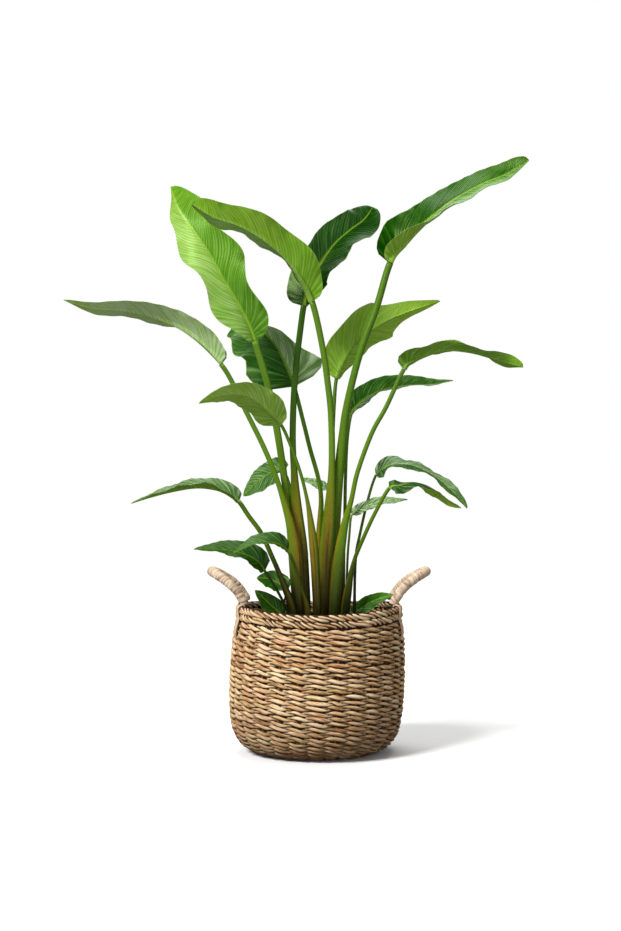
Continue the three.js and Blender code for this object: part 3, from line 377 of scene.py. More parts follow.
class Body:
    """Collects closed bodies for one mesh, with a few vectors for every point."""

    def __init__(self):
        self.points = []
        self.faces = []
        self.values = {}
        self.count = 0

    def loft(self, rings, closed=False, turned=None, **values):
        """A tube through rings of equally many points; closed joins its two ends. With turned,
        faces are split in two, the other way round from that column on, so that the skins of a
        flat tube match and stay clear of each other."""
        rows, sides = rings.shape[:2]
        i = np.arange(rows if closed else rows - 1)[:, None]
        j = np.arange(sides)[None, :]
        near, far, beside = i * sides, (i + 1) % rows * sides, (j + 1) % sides
        faces = join(near + j, near + beside, far + beside, far + j).reshape(-1, 4)
        if turned is not None:
            a, b, c, d = faces.T
            plain = np.tile(np.arange(sides) < turned, len(i))
            faces = np.vstack([join(a, b, np.where(plain, c, d)),
                               join(np.where(plain, a, b), c, d)])
        self.faces.extend((faces + self.count).tolist())
        if not closed:
            ring = np.arange(sides) + self.count
            self.faces.append(ring[::-1].tolist())
            self.faces.append((ring + (rows - 1) * sides).tolist())
        self.points.append(rings.reshape(-1, 3))
        for name, value in values.items():
            value = np.broadcast_to(value, rings.shape).reshape(-1, 3)
            self.values.setdefault(name, []).append(value)
        self.count += rows * sides

    def make(self, name, material, slot, replaces=(), sharp=None):
        """The piece; edges sharper than the given number of degrees stay crisp."""
        mesh = bpy.data.meshes.new(name)
        points = np.clip(np.vstack(self.points) * MM, *CAD_BOX)
        mesh.from_pydata(points.tolist(), [], self.faces)
        for key, parts in self.values.items():
            vectors = mesh.attributes.new(key, "FLOAT_VECTOR", "POINT").data
            vectors.foreach_set("vector", np.vstack(parts).ravel())
        mesh.shade_smooth()
        if sharp:
            mesh.set_sharp_from_angle(angle=math.radians(sharp))
        mesh.materials.append(material)
        piece = put(name, mesh)
        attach(piece, "root")
        if replaces:
            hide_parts(*replaces)


# ---------------------------------------------------------------- material building
def rgb(code):
    """An sRGB hex code as linear colour."""
    channels = [int(code[k:k + 2], 16) / 255 for k in (1, 3, 5)]
    linear = [c / 12.92 if c <= 0.04045 else ((c + 0.055) / 1.055) ** 2.4 for c in channels]
    return (*linear, 1.0)


class Nodes:
    """A tree of shader nodes that are added in a few short calls."""

    def __init__(self, owner):
        owner.use_nodes = True
        self.tree = owner.node_tree

    def feed(self, target, source):
        """Puts another node's output, a hex colour or a number into an input."""
        if isinstance(source, bpy.types.NodeSocket):
            self.tree.links.new(source, target)
        else:
            target.default_value = rgb(source) if isinstance(source, str) else source

    def node(self, kind, sources=(), **settings):
        node = self.tree.nodes.new("ShaderNode" + kind)
        for key, setting in settings.items():
            setattr(node, key, setting)
        for key, source in dict(sources).items():
            self.feed(node.inputs[key], source)
        return node

    def place(self):
        return self.node("TexCoord").outputs["Object"]

    def vector(self, name):
        """A vector that the mesh holds for every point."""
        return self.node("Attribute", attribute_name=name).outputs["Vector"]

    def split(self, source):
        return self.node("SeparateXYZ", {0: source}).outputs

    def math(self, operation, a, b=0.0, clamp=False):
        return self.node("Math", {0: a, 1: b}, operation=operation, use_clamp=clamp).outputs[0]

    def add(self, a, *rest):
        for b in rest:
            a = self.math("ADD", a, b)
        return a

    def times(self, a, *rest, clamp=False):
        for b in rest:
            a = self.math("MULTIPLY", a, b, clamp)
        return a

    def range(self, source, from_low, from_high, to_low, to_high):
        sources = source, from_low, from_high, to_low, to_high
        return self.node("MapRange", enumerate(sources)).outputs[0]

    def vary(self, noise, low, high=None):
        """A noise stretched from its usual span to low and high, or to both sides of 0."""
        return self.range(noise, 0.3, 0.7, *((-low, low) if high is None else (low, high)))

    def noise(self, where, scale, detail=3, roughness=0.55, stretch=None):
        if stretch:
            where = self.node("VectorMath", {0: where, 1: stretch}, operation="MULTIPLY").outputs[0]
        sources = {"Vector": where, "Scale": scale, "Detail": detail, "Roughness": roughness}
        return self.node("TexNoise", sources).outputs["Fac"]

    def ramp(self, fac, *stops):
        node = self.node("ValToRGB", {0: fac})
        elements = node.color_ramp.elements
        while len(elements) < len(stops):
            elements.new(1)
        for element, (position, colour) in zip(elements, stops):
            element.position = position
            element.color = rgb(colour)
        return node.outputs["Color"]

    def mix(self, fac, a, b, blend="MIX"):
        return self.node("Mix", {0: fac, 6: a, 7: b}, data_type="RGBA", blend_type=blend).outputs[2]

    def over(self, colour, *layers):
        """A colour under layers, each laid on as strongly as its factor says."""
        for fac, layer in layers:
            colour = self.mix(fac, colour, layer)
        return colour

    def bump(self, height, distance, strength):
        sources = {"Height": height, "Distance": distance, "Strength": strength}
        return self.node("Bump", sources).outputs["Normal"]


class Shader(Nodes):
    """A Principled material."""

    def __init__(self, name, roughness=0.5, specular=0.5, tint="#FFFFFF"):
        self.material = bpy.data.materials.new(name)
        super().__init__(self.material)
        self.inputs = self.tree.nodes["Principled BSDF"].inputs
        self.feed(self.inputs["Roughness"], roughness)
        self.feed(self.inputs["Specular IOR Level"], specular)
        self.feed(self.inputs["Specular Tint"], tint)

    def finish(self, colour, **inputs):
        self.feed(self.inputs["Base Color"], colour)
        for name, source in inputs.items():
            self.feed(self.inputs[name], source)
        return self.material


def make_leaf_material():
    """Waxy blade: dark to lime above, duller below, with a pale rib, side veins and margin, and a
    pale painted sheen.
    """
    m = Shader("leaf_blade", specular=0.18, tint="#A8D070")
    tone, face, rib = m.split(m.vector("leaf_look"))
    vein, reach, along = m.split(m.vector("leaf_vein"))
    # a pale painted sheen on each half, partly the blade's waxy coating and partly the sheen of
    # light on it
    wax_and_sheen = m.split(m.vector("leaf_bloom"))[0]
    patch = m.noise(m.place(), 9)
    streak = m.noise(m.vector("leaf_vein"), 1, 3, 0.6, stretch=(1.1, 1.2, 1.5))
    fine = m.noise(m.vector("leaf_vein"), 1, 2, 0.6, stretch=(6, 1, 1.5))
    swell = m.math("COSINE", m.times(vein, TAU))
    line = m.math("POWER", m.range(swell, -1, 1, 0, 1), 5)
    pale = m.times(line, m.range(streak, 0.35, 0.65, 0.35, 1))
    shade = m.add(tone, m.vary(patch, 0.06), m.vary(streak, 0.08), m.vary(fine, 0.07))
    upper = m.ramp(shade, (0, "#031A00"), (0.2, "#0C4000"), (0.37, "#2C5C04"), (0.55, "#487E02"),
                   (0.75, "#629C04"), (1, "#93BE1A"))
    under = m.ramp(shade, (0, "#2A4A02"), (0.3, "#447204"), (0.6, "#6AA008"), (1, "#A6D232"))
    upper = m.mix(m.times(pale, m.range(shade, 0.25, 0.65, 0.05, 0.5)), upper, "#8DB650")
    under = m.mix(m.times(pale, 0.4), under, "#AECF78")
    # the painted sheen is patchy, strongest along the side veins, and fades at the tip
    sheen = m.times(m.range(fine, 0.35, 0.7, 0.4, 1.3), m.range(streak, 0.35, 0.65, 0.4, 1.3),
                    m.range(swell, -1, 1, 0.45, 1.55), m.range(along, 0.8, 1, 1, 0.2))
    colour = m.over(m.mix(face, under, upper),
                    (m.times(wax_and_sheen, sheen, clamp=True), "#BACFA8"),
                    (m.times(rib, 0.65), m.mix(face, "#7F9E3A", "#8DB32E")),
                    (m.range(reach, 0.975, 1, 0, 0.7), "#A9B86A"))
    height = m.times(m.add(m.times(swell, -0.35), m.times(fine, 0.3)), m.range(rib, 0, 0.6, 1, 0))
    rough = m.add(m.range(face, 0, 1, 0.5, 0.24), m.vary(patch, -0.04, 0.06))
    return m.finish(colour, Normal=m.bump(height, 0.0004, 0.6), Roughness=rough)


def make_stalk_material():
    """Satin green stem: lighter and yellower upwards, with painted shade that makes it dark at the
    soil, bronze at the margins.
    """
    m = Shader("leaf_stalk", specular=0.4, tint="#D8E0A0")
    up, seam, tone = m.split(m.vector("stalk_look"))
    fibre = m.vector("stalk_round")
    streak = m.noise(fibre, 7, 4, stretch=(1, 1, 0.35))
    fine = m.noise(fibre, 26, 3, stretch=(1, 1, 0.12))
    # the ramp's dark low end is painted shade where the stalks crowd together at the soil
    colour = m.ramp(m.add(up, m.vary(streak, 0.06)), (0, "#080B02"), (0.1, "#1A2403"),
                    (0.28, "#3E5606"), (0.5, "#567A08"), (0.75, "#4C7810"), (1, "#427018"))
    colour = m.over(colour,
                    (m.times(tone, 0.5, clamp=True), "#94B832"),
                    (m.times(tone, -0.8, clamp=True), "#1E2606"),
                    (m.range(fine, 0.45, 0.75, 0, 0.5), "#24400A"),
                    (m.math("POWER", seam, 0.45), m.mix(streak, "#6A440A", "#A08A20")),
                    (m.range(seam, 0.8, 1, 0, 0.6), "#3A1E08"),
                    # painted shade: darkens the stalks near the soil
                    (m.range(up, 0.05, 0.38, 0.92, 0), "#0A1203"))
    return m.finish(colour, Normal=m.bump(fine, 0.0003, 0.5), Roughness=m.vary(streak, 0.24, 0.38))


def make_seagrass_material():
    """Twisted dry grass: each stitch has its own straw tone, with fibres along the strand, and
    painted shade on the strands' hidden sides and towards the basket's bottom.
    """
    m = Shader("seagrass", specular=0.25)
    tone, deep, hue = m.split(m.vector("strand_look"))
    height = m.split(m.place())[2]
    fibre = m.vector("strand_fibre")
    broad = m.noise(fibre, 2, 2, 0.5, stretch=(1, 1, 0.3))
    fine = m.noise(fibre, 4.5, 3, 0.6, stretch=(1, 1, 0.2))
    colour = m.ramp(m.add(tone, m.vary(broad, 0.4), m.vary(fine, 0.25)), (0, "#52321C"),
                    (0.2, "#966B42"), (0.5, "#D0A97B"), (0.75, "#E9CCA2"), (1, "#FCEED2"))
    warm = m.ramp(hue, (0, "#DCA478"), (0.3, "#E9C294"), (0.6, "#F1DAB2"), (1, "#DCCB86"))
    # deep is painted shade, laid on as dark brown; the last layer is painted shade that darkens the
    # bottom of the basket
    colour = m.over(colour, (0.5, m.mix(1, colour, warm, "MULTIPLY")),
                    (m.times(deep, 0.92), "#26170B"), (m.range(height, 0, 0.11, 0.6, 0), "#452A15"))
    return m.finish(colour, Normal=m.bump(fine, 0.0009, 0.8), Roughness=m.vary(fine, 0.62, 0.85))


def make_jute_material():
    """Pale wrapped cord, with fine fibres that follow each wrap, and painted shade in the grooves
    between the turns and between their cords.
    """
    m = Shader("jute", roughness=0.9, specular=0.15)
    groove, between, strap = m.split(m.vector("wrap_look"))
    fine = m.noise(m.vector("wrap_fibre"), 5, 4, 0.6)
    patch = m.noise(m.place(), 90)
    colour = m.ramp(m.add(m.vary(fine, 0.3, 0.7), m.vary(patch, 0.12)), (0, "#C7A283"),
                    (0.35, "#E6CBAE"), (0.65, "#F6E2C9"), (1, "#FDF3E2"))
    # groove and between are painted shade; strap is the straps' own darker tan
    colour = m.over(colour, (m.times(strap, 0.45), "#B08C68"), (m.times(between, 0.35), "#A67F5E"),
                    (m.times(groove, 0.85), "#6B4A33"))
    return m.finish(colour, Normal=m.bump(fine, 0.0006, 0.6))


def make_pot_material():
    """Black plastic with a little dust."""
    m = Shader("black_plastic", specular=0.3)
    speck = m.noise(m.place(), 420, 2)
    dust = m.noise(m.place(), 24, 4)
    colour = m.mix(m.range(dust, 0.45, 0.75, 0, 0.35), "#171716", "#3A332B")
    return m.finish(colour, Normal=m.bump(speck, 0.0001, 0.3), Roughness=m.vary(dust, 0.4, 0.62))


def make_soil_material():
    m = Shader("soil", roughness=0.95, specular=0.15)
    crumbs = m.noise(m.place(), 240, 5, 0.65)
    shade = m.add(m.times(crumbs, 0.6), m.times(m.noise(m.place(), 60), 0.4))
    colour = m.ramp(shade, (0.3, "#120C07"), (0.5, "#2B1D12"), (0.7, "#4A3422"))
    return m.finish(colour, Normal=m.bump(crumbs, 0.003, 0.8))


def make_floor_material():
    """White paper that throws back only part of the light, so that the object keeps its shade."""
    m = Shader("floor", roughness=0.8, specular=0)
    seen = m.node("LightPath").outputs["Is Camera Ray"]
    return m.finish(m.mix(seen, "#787674", "#FCFCFB"))


# ---------------------------------------------------------------- leaf blade
BLADE_COLUMNS = 13  # from the rib to the edge
COLUMN_SPREAD = 1.15  # above 1, the columns lie closer near the rib
ROW_EASE = 0.35  # above 0, the rows lie closer at the base and the tip
BLADE_EDGE = 0.35  # thickness at the margin
RIB_FOOT = 0.8  # radius of the rib where it leaves the stalk, as a share of the stalk's
RIB_TIP = 0.5  # and its radius at the tip, in millimetres
RIB_CHANNEL = 0.55  # depth of its channel above, as a share of its radius
RIB_KEEL = 1.45  # and height of its keel below
HALF_SHIFT = 0.37  # by how much of a wave the right margin runs ahead of the left one
PLEAT = 0.28  # how far a blade rises and sinks at and between its side veins
PLEAT_RUN = 8  # the pleats reach their full height this far from the rib
RUFFLE = 0.7  # height of the fine waves along the margin
RUFFLES = 3.3  # how many of them go to one large wave
TIP_DRIFT = 0.12  # how much lighter a blade is at its tip than at its foot


def leaf_curve(leaf):
    """One curve from a leaf's foot in the soil to its tip, where on it the blade starts, and half
    of the gap there."""
    stalk = leaf["stalk"][::-1]
    foot = [*stalk[0][:2], STALK_FOOT]
    curve = Curve([foot, *stalk, *leaf["rib"]])
    joint = curve.lengths[CURVE_DIVISIONS * (len(stalk) + 1)] / curve.length
    return curve, joint, GAP / 2 / curve.length


def blend3(vectors, t):
    """The vector that passes through three given ones at t = 0, 0.5 and 1."""
    a, b, c = np.array(vectors, float)
    t = column(t)
    return a * (1 - t) * (1 - 2 * t) + b * 4 * t * (1 - t) + c * t * (2 * t - 1)


def blade_reach(t, lobe, taper):
    """Half-width along the rib, as a share of the greatest."""
    shoulder, bluntness, roundness = taper
    rounding = np.sqrt(np.clip(1 - np.clip(1 - t / lobe, 0, 1) ** 2, 0, 1))
    beyond = np.clip((t - shoulder) / (1 - shoulder), 0, 1)
    return rounding * (1 - beyond ** bluntness) ** roundness


def blade_half(leaf, i, curve, joint, gap, rng):
    """The upper and the under points of the left or right half, with what its finish reads."""
    length = curve.length * (1 - joint)
    half = leaf["half"][i]
    curl = math.radians(leaf["curl"][i])
    lobe_and_taper = leaf["lobe"][i], leaf["taper"][i]
    height, count, start = leaf["wave"]
    share = np.linspace(0, 1, BLADE_COLUMNS)[None, :] ** COLUMN_SPREAD
    number = np.arange(2 * round(length / VEIN_PITCH) + 1)[:, None]
    row = np.linspace(0, 1, len(number))[:, None]
    base = lerp(row, (1 - np.cos(np.pi * row)) / 2, ROW_EASE)
    slant = VEIN_SLANT * share * half * blade_reach(base, *lobe_and_taper) / length
    t = np.clip(base + slant * (1 - base ** 6) * np.minimum(1, base * 12), 0, 1)
    centre, along = curve.at(lerp(joint + gap, 1, t))
    out = across(blend3(leaf["right" if i else "left"], t), along)
    up = np.cross(out, along) if i else np.cross(along, out)
    reach = blade_reach(t, *lobe_and_taper)
    rib = lerp(leaf["stem"] * RIB_FOOT, RIB_TIP, t ** 0.7)
    wave = np.sin(TAU * (count * t + start + HALF_SHIFT * i))
    width = half * reach * (1 - WAVE_DRAW * height * (1 + wave)) + rib * 1.2
    bend = curl * share
    distance = width * share
    outwards = width * (np.sin(bend) / curl)
    down = width * ((1 - np.cos(bend)) / curl)
    normal = up * column(np.cos(bend)) + out * column(np.sin(bend))
    ruffle = RUFFLE * np.sin(TAU * (count * RUFFLES * t + rng.uniform())) * share ** 3
    pleat = np.where(number % 2, PLEAT, -PLEAT)
    pleat = pleat * smoothstep(distance, 1.1 * rib, 1.1 * rib + PLEAT_RUN) * (1 - 0.6 * share ** 4)
    channel = gauss(distance / (0.75 * rib))
    lift = reach * (wave * height * share ** 2 + ruffle + pleat) - RIB_CHANNEL * rib * channel
    top = centre + out * column(outwards) - up * column(down) + normal * column(lift)
    keel = RIB_KEEL * np.sqrt(np.clip(1 - (distance / (1.25 * rib)) ** 2, 0, 1))
    depth = lerp(BLADE, BLADE_EDGE, share ** 6) + rib * (keel - RIB_CHANNEL * channel)
    under = top - normal * column(depth)
    values = join(number / 2, share, t, gauss((distance / (0.9 * rib)) ** 2), i)
    return top, under, values


def make_blade(number, leaf, material):
    rng = np.random.default_rng(number)
    halves = [blade_half(leaf, i, *leaf_curve(leaf), rng) for i in (0, 1)]
    (left_top, left_under, left_values), (right_top, right_under, right_values) = halves

    def ring(left_upper, right_upper, left_lower, right_lower):
        return np.concatenate([left_upper[:, ::-1], right_upper[:, 1:], right_lower[:, ::-1],
                               left_lower[:, 1:]], axis=1)

    left_top[:, 0] = (left_top[:, 0] + right_top[:, 0]) / 2
    right_under[:, 0] = (left_under[:, 0] + right_under[:, 0]) / 2
    points = ring(left_top, right_top, left_under, right_under)
    values = ring(left_values, right_values, left_values, right_values)
    vein, on_rib, half = values[..., :3], values[..., 3], values[..., 4]
    upper_columns = 2 * BLADE_COLUMNS - 1
    face = 1.0 * (np.arange(points.shape[1]) < upper_columns)
    # painted light in the tones: each is the leaf's own green, set lighter for light that shines
    # through the blade and onto its underside
    left_tone, right_tone, under_tone = leaf["tone"]
    tone = lerp(under_tone, lerp(left_tone, right_tone, half), face)
    tone = tone + TIP_DRIFT * (vein[..., 2] - 0.5)
    body = Body()
    # the last vector: each half's pale painted sheen, partly its waxy coating
    body.loft(points, turned=upper_columns, leaf_vein=vein, leaf_look=join(tone, face, on_rib),
              leaf_bloom=join(lerp(*leaf["bloom"], half), 0, 0))
    body.make(f"blade_{number:02d}", material, "leaf_blade", [f"leaf_{number:02d}_blade"], sharp=50)


# ---------------------------------------------------------------- leaf stalk
STALK_SIDES = 28
STALK_STEP = 7
FOOT_SWELL = 1.15  # how much thicker than at the blade a stalk is at its foot, under the sheath
SHEATH_FADE = 0.22, 0.06  # over what shares of the stalk below and above its top the sheath ends
BRONZE_ARC = 0.12, 0.75  # how far the bronze spreads to the two sides of the seam, in radians
CHANNEL = 0.22  # depth of the channel along the upper side, as a share of the radius
STALK_COLOURS = 400  # height above the soil at which the stalks' colours stop changing


def make_stalk(number, leaf, material):
    """A channelled stem that widens downwards into a clasping sheath with a bronze margin."""
    sheath_top, sheath_wide, sheath_deep = leaf["sheath"]
    curve, joint, gap = leaf_curve(leaf)
    length = curve.length * joint
    u = np.linspace(0, 1, max(10, round(length / STALK_STEP)) + 1)
    centre, along = curve.at(u * (joint - gap))
    wide = across(np.broadcast_to([1.0, 0, 0], along.shape), along)
    deep = np.cross(along, wide)
    u = u[:, None]
    below, above = SHEATH_FADE
    clasp = 1 - smoothstep(u, sheath_top - below, sheath_top + above)
    stem = leaf["stem"] * lerp(FOOT_SWELL, 1, u)
    half_wide = lerp(stem, sheath_wide * lerp(0.85, 1, u / sheath_top), clasp)
    half_deep = lerp(stem, sheath_deep, clasp)
    angle = round_angles(STALK_SIDES)
    channel = across(np.add(leaf["left"][0], leaf["right"][0]), along)
    facing = np.clip(np.sum(oval(wide, deep, angle) * channel[:, None], axis=-1), 0, 1)
    offset = (angle - math.radians(leaf["seam"]) + math.pi) % TAU - math.pi
    margin = gauss(offset / np.where(offset > 0, *BRONZE_ARC)) * clasp
    groove = (1 - CHANNEL * facing ** 8 * (1 - clasp)) * (1 - 0.1 * margin)
    rings = centre[:, None] + column(groove) * oval(wide, deep, angle, half_wide, half_deep)
    up = (centre[:, 2:] - SOIL_TOP) / STALK_COLOURS
    seam = np.clip(margin * 1.2 * smoothstep(u, -0.1, 0.1), 0, 1)
    body = Body()
    body.loft(rings, stalk_look=join(up, seam, leaf["stem_tone"]),
              stalk_round=wound(angle, u * length / 20))
    body.make(f"stalk_{number:02d}", material, "leaf_stalk", [f"leaf_{number:02d}_stalk"])


# ---------------------------------------------------------------- basket
WALL_PROFILE = Curve([[BASKET_RADIUS - draw, 0, height] for draw, height in (
    (BASKET_RADIUS - FOOT_RADIUS, 0), (27, 11), (11, 30), (4, 54), (0.5, 90), (0, 140), (2.5, 186),
    (0.5 * MOUTH_DRAW, 213), (MOUTH_DRAW, BASKET_HEIGHT - 2 * RIM_BEAD))])
WALL_POINTS = WALL_PROFILE.point(WALL_PROFILE.steps)
BEAD_RADIUS = BASKET_RADIUS - MOUTH_DRAW
BEAD_HEIGHT = BASKET_HEIGHT - RIM_BEAD
MID_WALL = WALL / 2
FLOOR_MIDDLE = MID_WALL + 1.2  # height of the middle of the woven floor
DOWN = np.array([0.0, -1.0])  # as a normal, in radius and height

GRASS_RUN = 14  # how far the grass's fibre pattern runs on for each radian round the basket
STRAND_SIDES = 14
STRAND_HALF = 3.55  # half-height of a strand where it passes before a stake
STRAND_BACK = 4  # behind a stake
STRAND_CROSS = 1.4  # and where the two strands cross
STITCH_SPREAD = 0.12  # how much the stitches vary in size, as a share
STITCH_SHIFT = 0.7  # and in height, in millimetres
RINGS_PER_STAKE = 10

ROPE_LAY = 56  # one turn of the rim rope's strands
ROPE_PLIES = 4
ROPE_RINGS = 16  # to a turn
ROPE_WIND = 3.3  # from the rope's middle to a strand's
ROPE_STRAND = 2.6  # radius of a strand
ROPE_SHADE_CORE = 3, 6.4  # half-width and half-height of the dark tube of painted shade inside
ROPE_ROW_HEIGHT = BEAD_HEIGHT - 2 * RIM_BEAD  # middle of the twisted row under the rim

STAKE_RADIUS = 1.5
STAKE_SIDES = 8
SHADE_SHEET = 0.3  # half-thickness of the dark sheet of painted shade between the stakes


def lean_at(height):
    return join(BASKET_LEAN * smoothstep(height, 40, BASKET_HEIGHT), 0, 0)


def lift_at(angle, height):
    return RIM_LIFT * np.cos(angle) ** 2 * smoothstep(height, 150, BASKET_HEIGHT)


def round_basket(radius, angle, height):
    """A point of the basket, after the lift of its rim and the lean of its mouth."""
    return wound(angle, height + lift_at(angle, height), radius) + lean_at(height)


def wall_at(share):
    """The middle of the wall's thickness at a share of the profile, with its outward normal."""
    point, along = WALL_PROFILE.at(share)
    normal = join(along[..., 2], -along[..., 0])
    return point[..., [0, 2]] - normal * MID_WALL, normal


def wander(rng, angle, size, waves):
    """A slow random wave round the basket."""
    return sum(rng.normal(0, size) * np.sin(k * angle + rng.uniform(0, TAU)) for k in waves)


def strand_values(tone, hue, deep, spin, run):
    """What the seagrass finish reads: the look of each stitch with its painted shade, and where a
    point lies on it.
    """
    return {"strand_look": join(column(tone), deep, column(hue)),
            "strand_fibre": wound(spin, column(run))}


def twined_row(body, middle, normal, rng, stakes=STAKES, swing=2.6, rise=2.3, depth=2.1):
    """Two strands that pass in turn before and behind each stake, and cross between them. Swing
    and rise: how far they move out and in, and up and down. Depth: their half-thickness."""
    angle = round_angles(stakes * RINGS_PER_STAKE)
    side = round_angles(STRAND_SIDES)
    drift = wander(rng, angle, 0.35, (3, 5, 8, 13))
    slip = wander(rng, angle, 0.16, (2, 9, 14, 19)) + rng.normal(0, 0.12)
    for strand in (0, 1):
        run = angle * stakes / 2 + math.pi * strand + slip
        front = np.cos(run)
        facing = np.abs(front)
        stitch = np.floor((run + math.pi / 2) / math.pi).astype(int) % stakes
        size = rng.normal(1, STITCH_SPREAD, stakes)[stitch]
        off = rng.normal(0, STITCH_SHIFT, stakes)[stitch] * facing
        full = np.where(front > 0, STRAND_HALF * size, STRAND_BACK)
        half_tall = lerp(STRAND_CROSS, full, facing ** 0.8)
        lobes = 1 + 0.16 * np.cos(4 * side + column(1.5 * run + stitch))
        out = column(swing * front) + depth * np.cos(side) * lobes
        up = column(off + drift - rise * np.sin(run)) + column(half_tall) * np.sin(side) * lobes
        radius = middle[0] + normal[0] * out - normal[1] * up
        height = middle[1] + normal[1] * out + normal[0] * up
        # painted shade: darker where a strand passes behind a stake and on its underside
        behind = 1 - smoothstep(front, 0, 0.45)
        deep = np.maximum(column(behind) * 0.35, smoothstep(-np.sin(side), 0.15, 0.85))
        tone = np.clip(rng.normal(0.68, 0.15, stakes), 0.1, 0.98)[stitch]
        hue = rng.uniform(0, 1, stakes)[stitch]
        values = strand_values(tone, hue, deep, side + column(angle / TAU * stakes * 1.4),
                               angle * GRASS_RUN + rng.uniform(0, 50))
        body.loft(round_basket(radius, column(angle), height), closed=True, **values)


def twisted_rope(body, radius, height, rng, start=0.0):
    """A rope round the rim: a few plies that wind round a dark tube of painted shade, with painted
    shade on their inner sides.
    """
    turns = round(TAU * radius / ROPE_LAY)
    steps = turns * ROPE_RINGS
    angle = round_angles(steps)
    side = round_angles(STRAND_SIDES)
    slope = turns * ROPE_WIND / radius
    tilt = math.hypot(1, slope)
    piece = np.arange(steps) // ROPE_RINGS
    drift = wander(rng, angle, 0.3, (4, 7, 11, 17))
    slip = wander(rng, angle, 0.35, (5, 9, 14, 22))
    for ply in range(ROPE_PLIES):
        wound = column(start - angle * turns + TAU * ply / ROPE_PLIES + slip)
        girth = rng.normal(ROPE_STRAND, 0.35, turns)[piece]
        girth = column(np.convolve(np.tile(girth, 3), np.ones(9) / 9, "same")[steps:2 * steps])
        lobes = 1 + 0.1 * np.cos(3 * side + 2 * wound)
        reach = ROPE_WIND + girth * np.cos(side) * lobes
        ahead = girth * np.sin(side) * lobes / tilt
        out = reach * np.cos(wound) + ahead * np.sin(wound)
        up = reach * np.sin(wound) - ahead * np.cos(wound) + column(drift)
        theta = column(angle) + ahead * slope / radius
        # painted shade on the inner sides of the plies and where they touch
        deep = 0.5 * np.maximum(smoothstep(-np.cos(side), 0.4, 1),
                                smoothstep(np.abs(np.sin(side)), 0.85, 1))
        tone = np.clip(rng.normal(0.8, 0.13, turns), 0.1, 1)[piece]
        hue = rng.uniform(0, 1, turns)[piece]
        spin = side - column(angle * turns * 1.5)
        values = strand_values(tone, hue, deep, spin, angle * GRASS_RUN)
        body.loft(round_basket(radius + out, theta, height + up), closed=True, **values)
    # a dark tube of painted shade inside the plies, seen between them
    wide, tall = ROPE_SHADE_CORE
    shade_core = round_basket(radius + wide * np.cos(side), column(angle),
                        height + column(drift) + tall * np.sin(side))
    body.loft(shade_core, closed=True, **strand_values(0, 0, 1, side, angle * GRASS_RUN))


def make_basket(seagrass):
    rng = np.random.default_rng(28)

    def finish(body, name):
        body.make(f"basket_{name}", seagrass, "seagrass", ["basket"])

    top = np.searchsorted(WALL_POINTS[:, 2], ROPE_ROW_HEIGHT - 9)
    top_share = WALL_PROFILE.lengths[top] / WALL_PROFILE.length
    rows = round(WALL_PROFILE.length * top_share / WALL_ROW)
    shares = (np.arange(rows) + 0.35) / (rows - 0.3) * top_share
    third = math.ceil(rows / 3)
    for part, name in enumerate(("low", "middle", "high")):
        body = Body()
        for share in shares[part * third:(part + 1) * third]:
            twined_row(body, *wall_at(share), rng)
        finish(body, f"wall_{name}")
    body = Body()
    twisted_rope(body, BEAD_RADIUS, BEAD_HEIGHT, rng)
    twisted_rope(body, BEAD_RADIUS + 1, ROPE_ROW_HEIGHT, rng, start=1.3)
    finish(body, "rim")
    body = Body()
    for radius in np.arange(FOOT_RADIUS - WALL_ROW * 0.4, 12, -WALL_ROW):
        stakes = STAKES if radius > 60 else STAKES // 2 if radius > 30 else 8
        twined_row(body, (radius, FLOOR_MIDDLE), DOWN, rng, stakes, swing=2.4, rise=2, depth=1.7)
    finish(body, "floor")
    finish(make_stakes(rng), "stakes")


def make_stakes(rng):
    """The upright stakes, which also cross under the floor, and a dark sheet of painted shade
    between them, where the gaps of the weave end."""
    body = Body()
    side = round_angles(STAKE_SIDES)
    middle, normal = wall_at(np.linspace(0, 0.99, 60))
    inner = join(np.linspace(14, middle[0, 0] - 4, 14), FLOOR_MIDDLE)
    route = np.vstack([inner, middle])
    facing = np.vstack([0 * inner + DOWN, normal])
    out = STAKE_RADIUS * np.cos(side) * 0.8
    radius = route[:, :1] + facing[:, :1] * out
    height = route[:, 1:] + facing[:, 1:] * out
    turned = STAKE_RADIUS * np.sin(side) / np.maximum(radius, 12)
    run = np.arange(len(route)) * 0.4
    for angle in round_angles(STAKES):
        # the stakes have their own darker tone and carry painted shade
        values = strand_values(rng.uniform(0.2, 0.4), 0.5, 0.45, side, run)
        body.loft(round_basket(radius, angle + turned, height), **values)
    # a dark sheet of painted shade through the wall, seen through the gaps of the weave
    angle = round_angles(2 * STAKES)
    skins = np.vstack([route + facing * SHADE_SHEET, (route - facing * SHADE_SHEET)[::-1]])
    values = strand_values(0, 0, 1, np.linspace(0, TAU, len(skins)), angle * GRASS_RUN)
    body.loft(round_basket(skins[:, 0], column(angle), skins[:, 1]), closed=True, **values)
    return body


# ---------------------------------------------------------------- handles
HANDLE_SIDES = 32
STRAP_SIDES = 24
STRAP_DEPTH = 1.9  # half of a strap's thickness
STRAP_WIDTHS = 4.6, 6.8  # half-widths at its lower end and over the rim
RING_STEP = 0.9
WRAP_PITCH = 7.4
WRAP_LOOSENS = 1.3  # how much wider the turns of cord are at the middle of the grip
TIP_RADIUS = 6.3
LEG_ANGLE = math.asin(HANDLE_HALF_SPAN / BEAD_RADIUS)
LEG_RIM = BEAD_HEIGHT + RIM_LIFT * math.cos(LEG_ANGLE) ** 2  # height of the rim's rope at a leg
# the grip, from the top of a leg to its middle
LOOP = [[131.5, -41.5, 266], [139, -39.5, 277], [151, -35, 288.5], [165, -26, 298],
        [176.5, -13, 304.5], [183, 0, 307.5]]


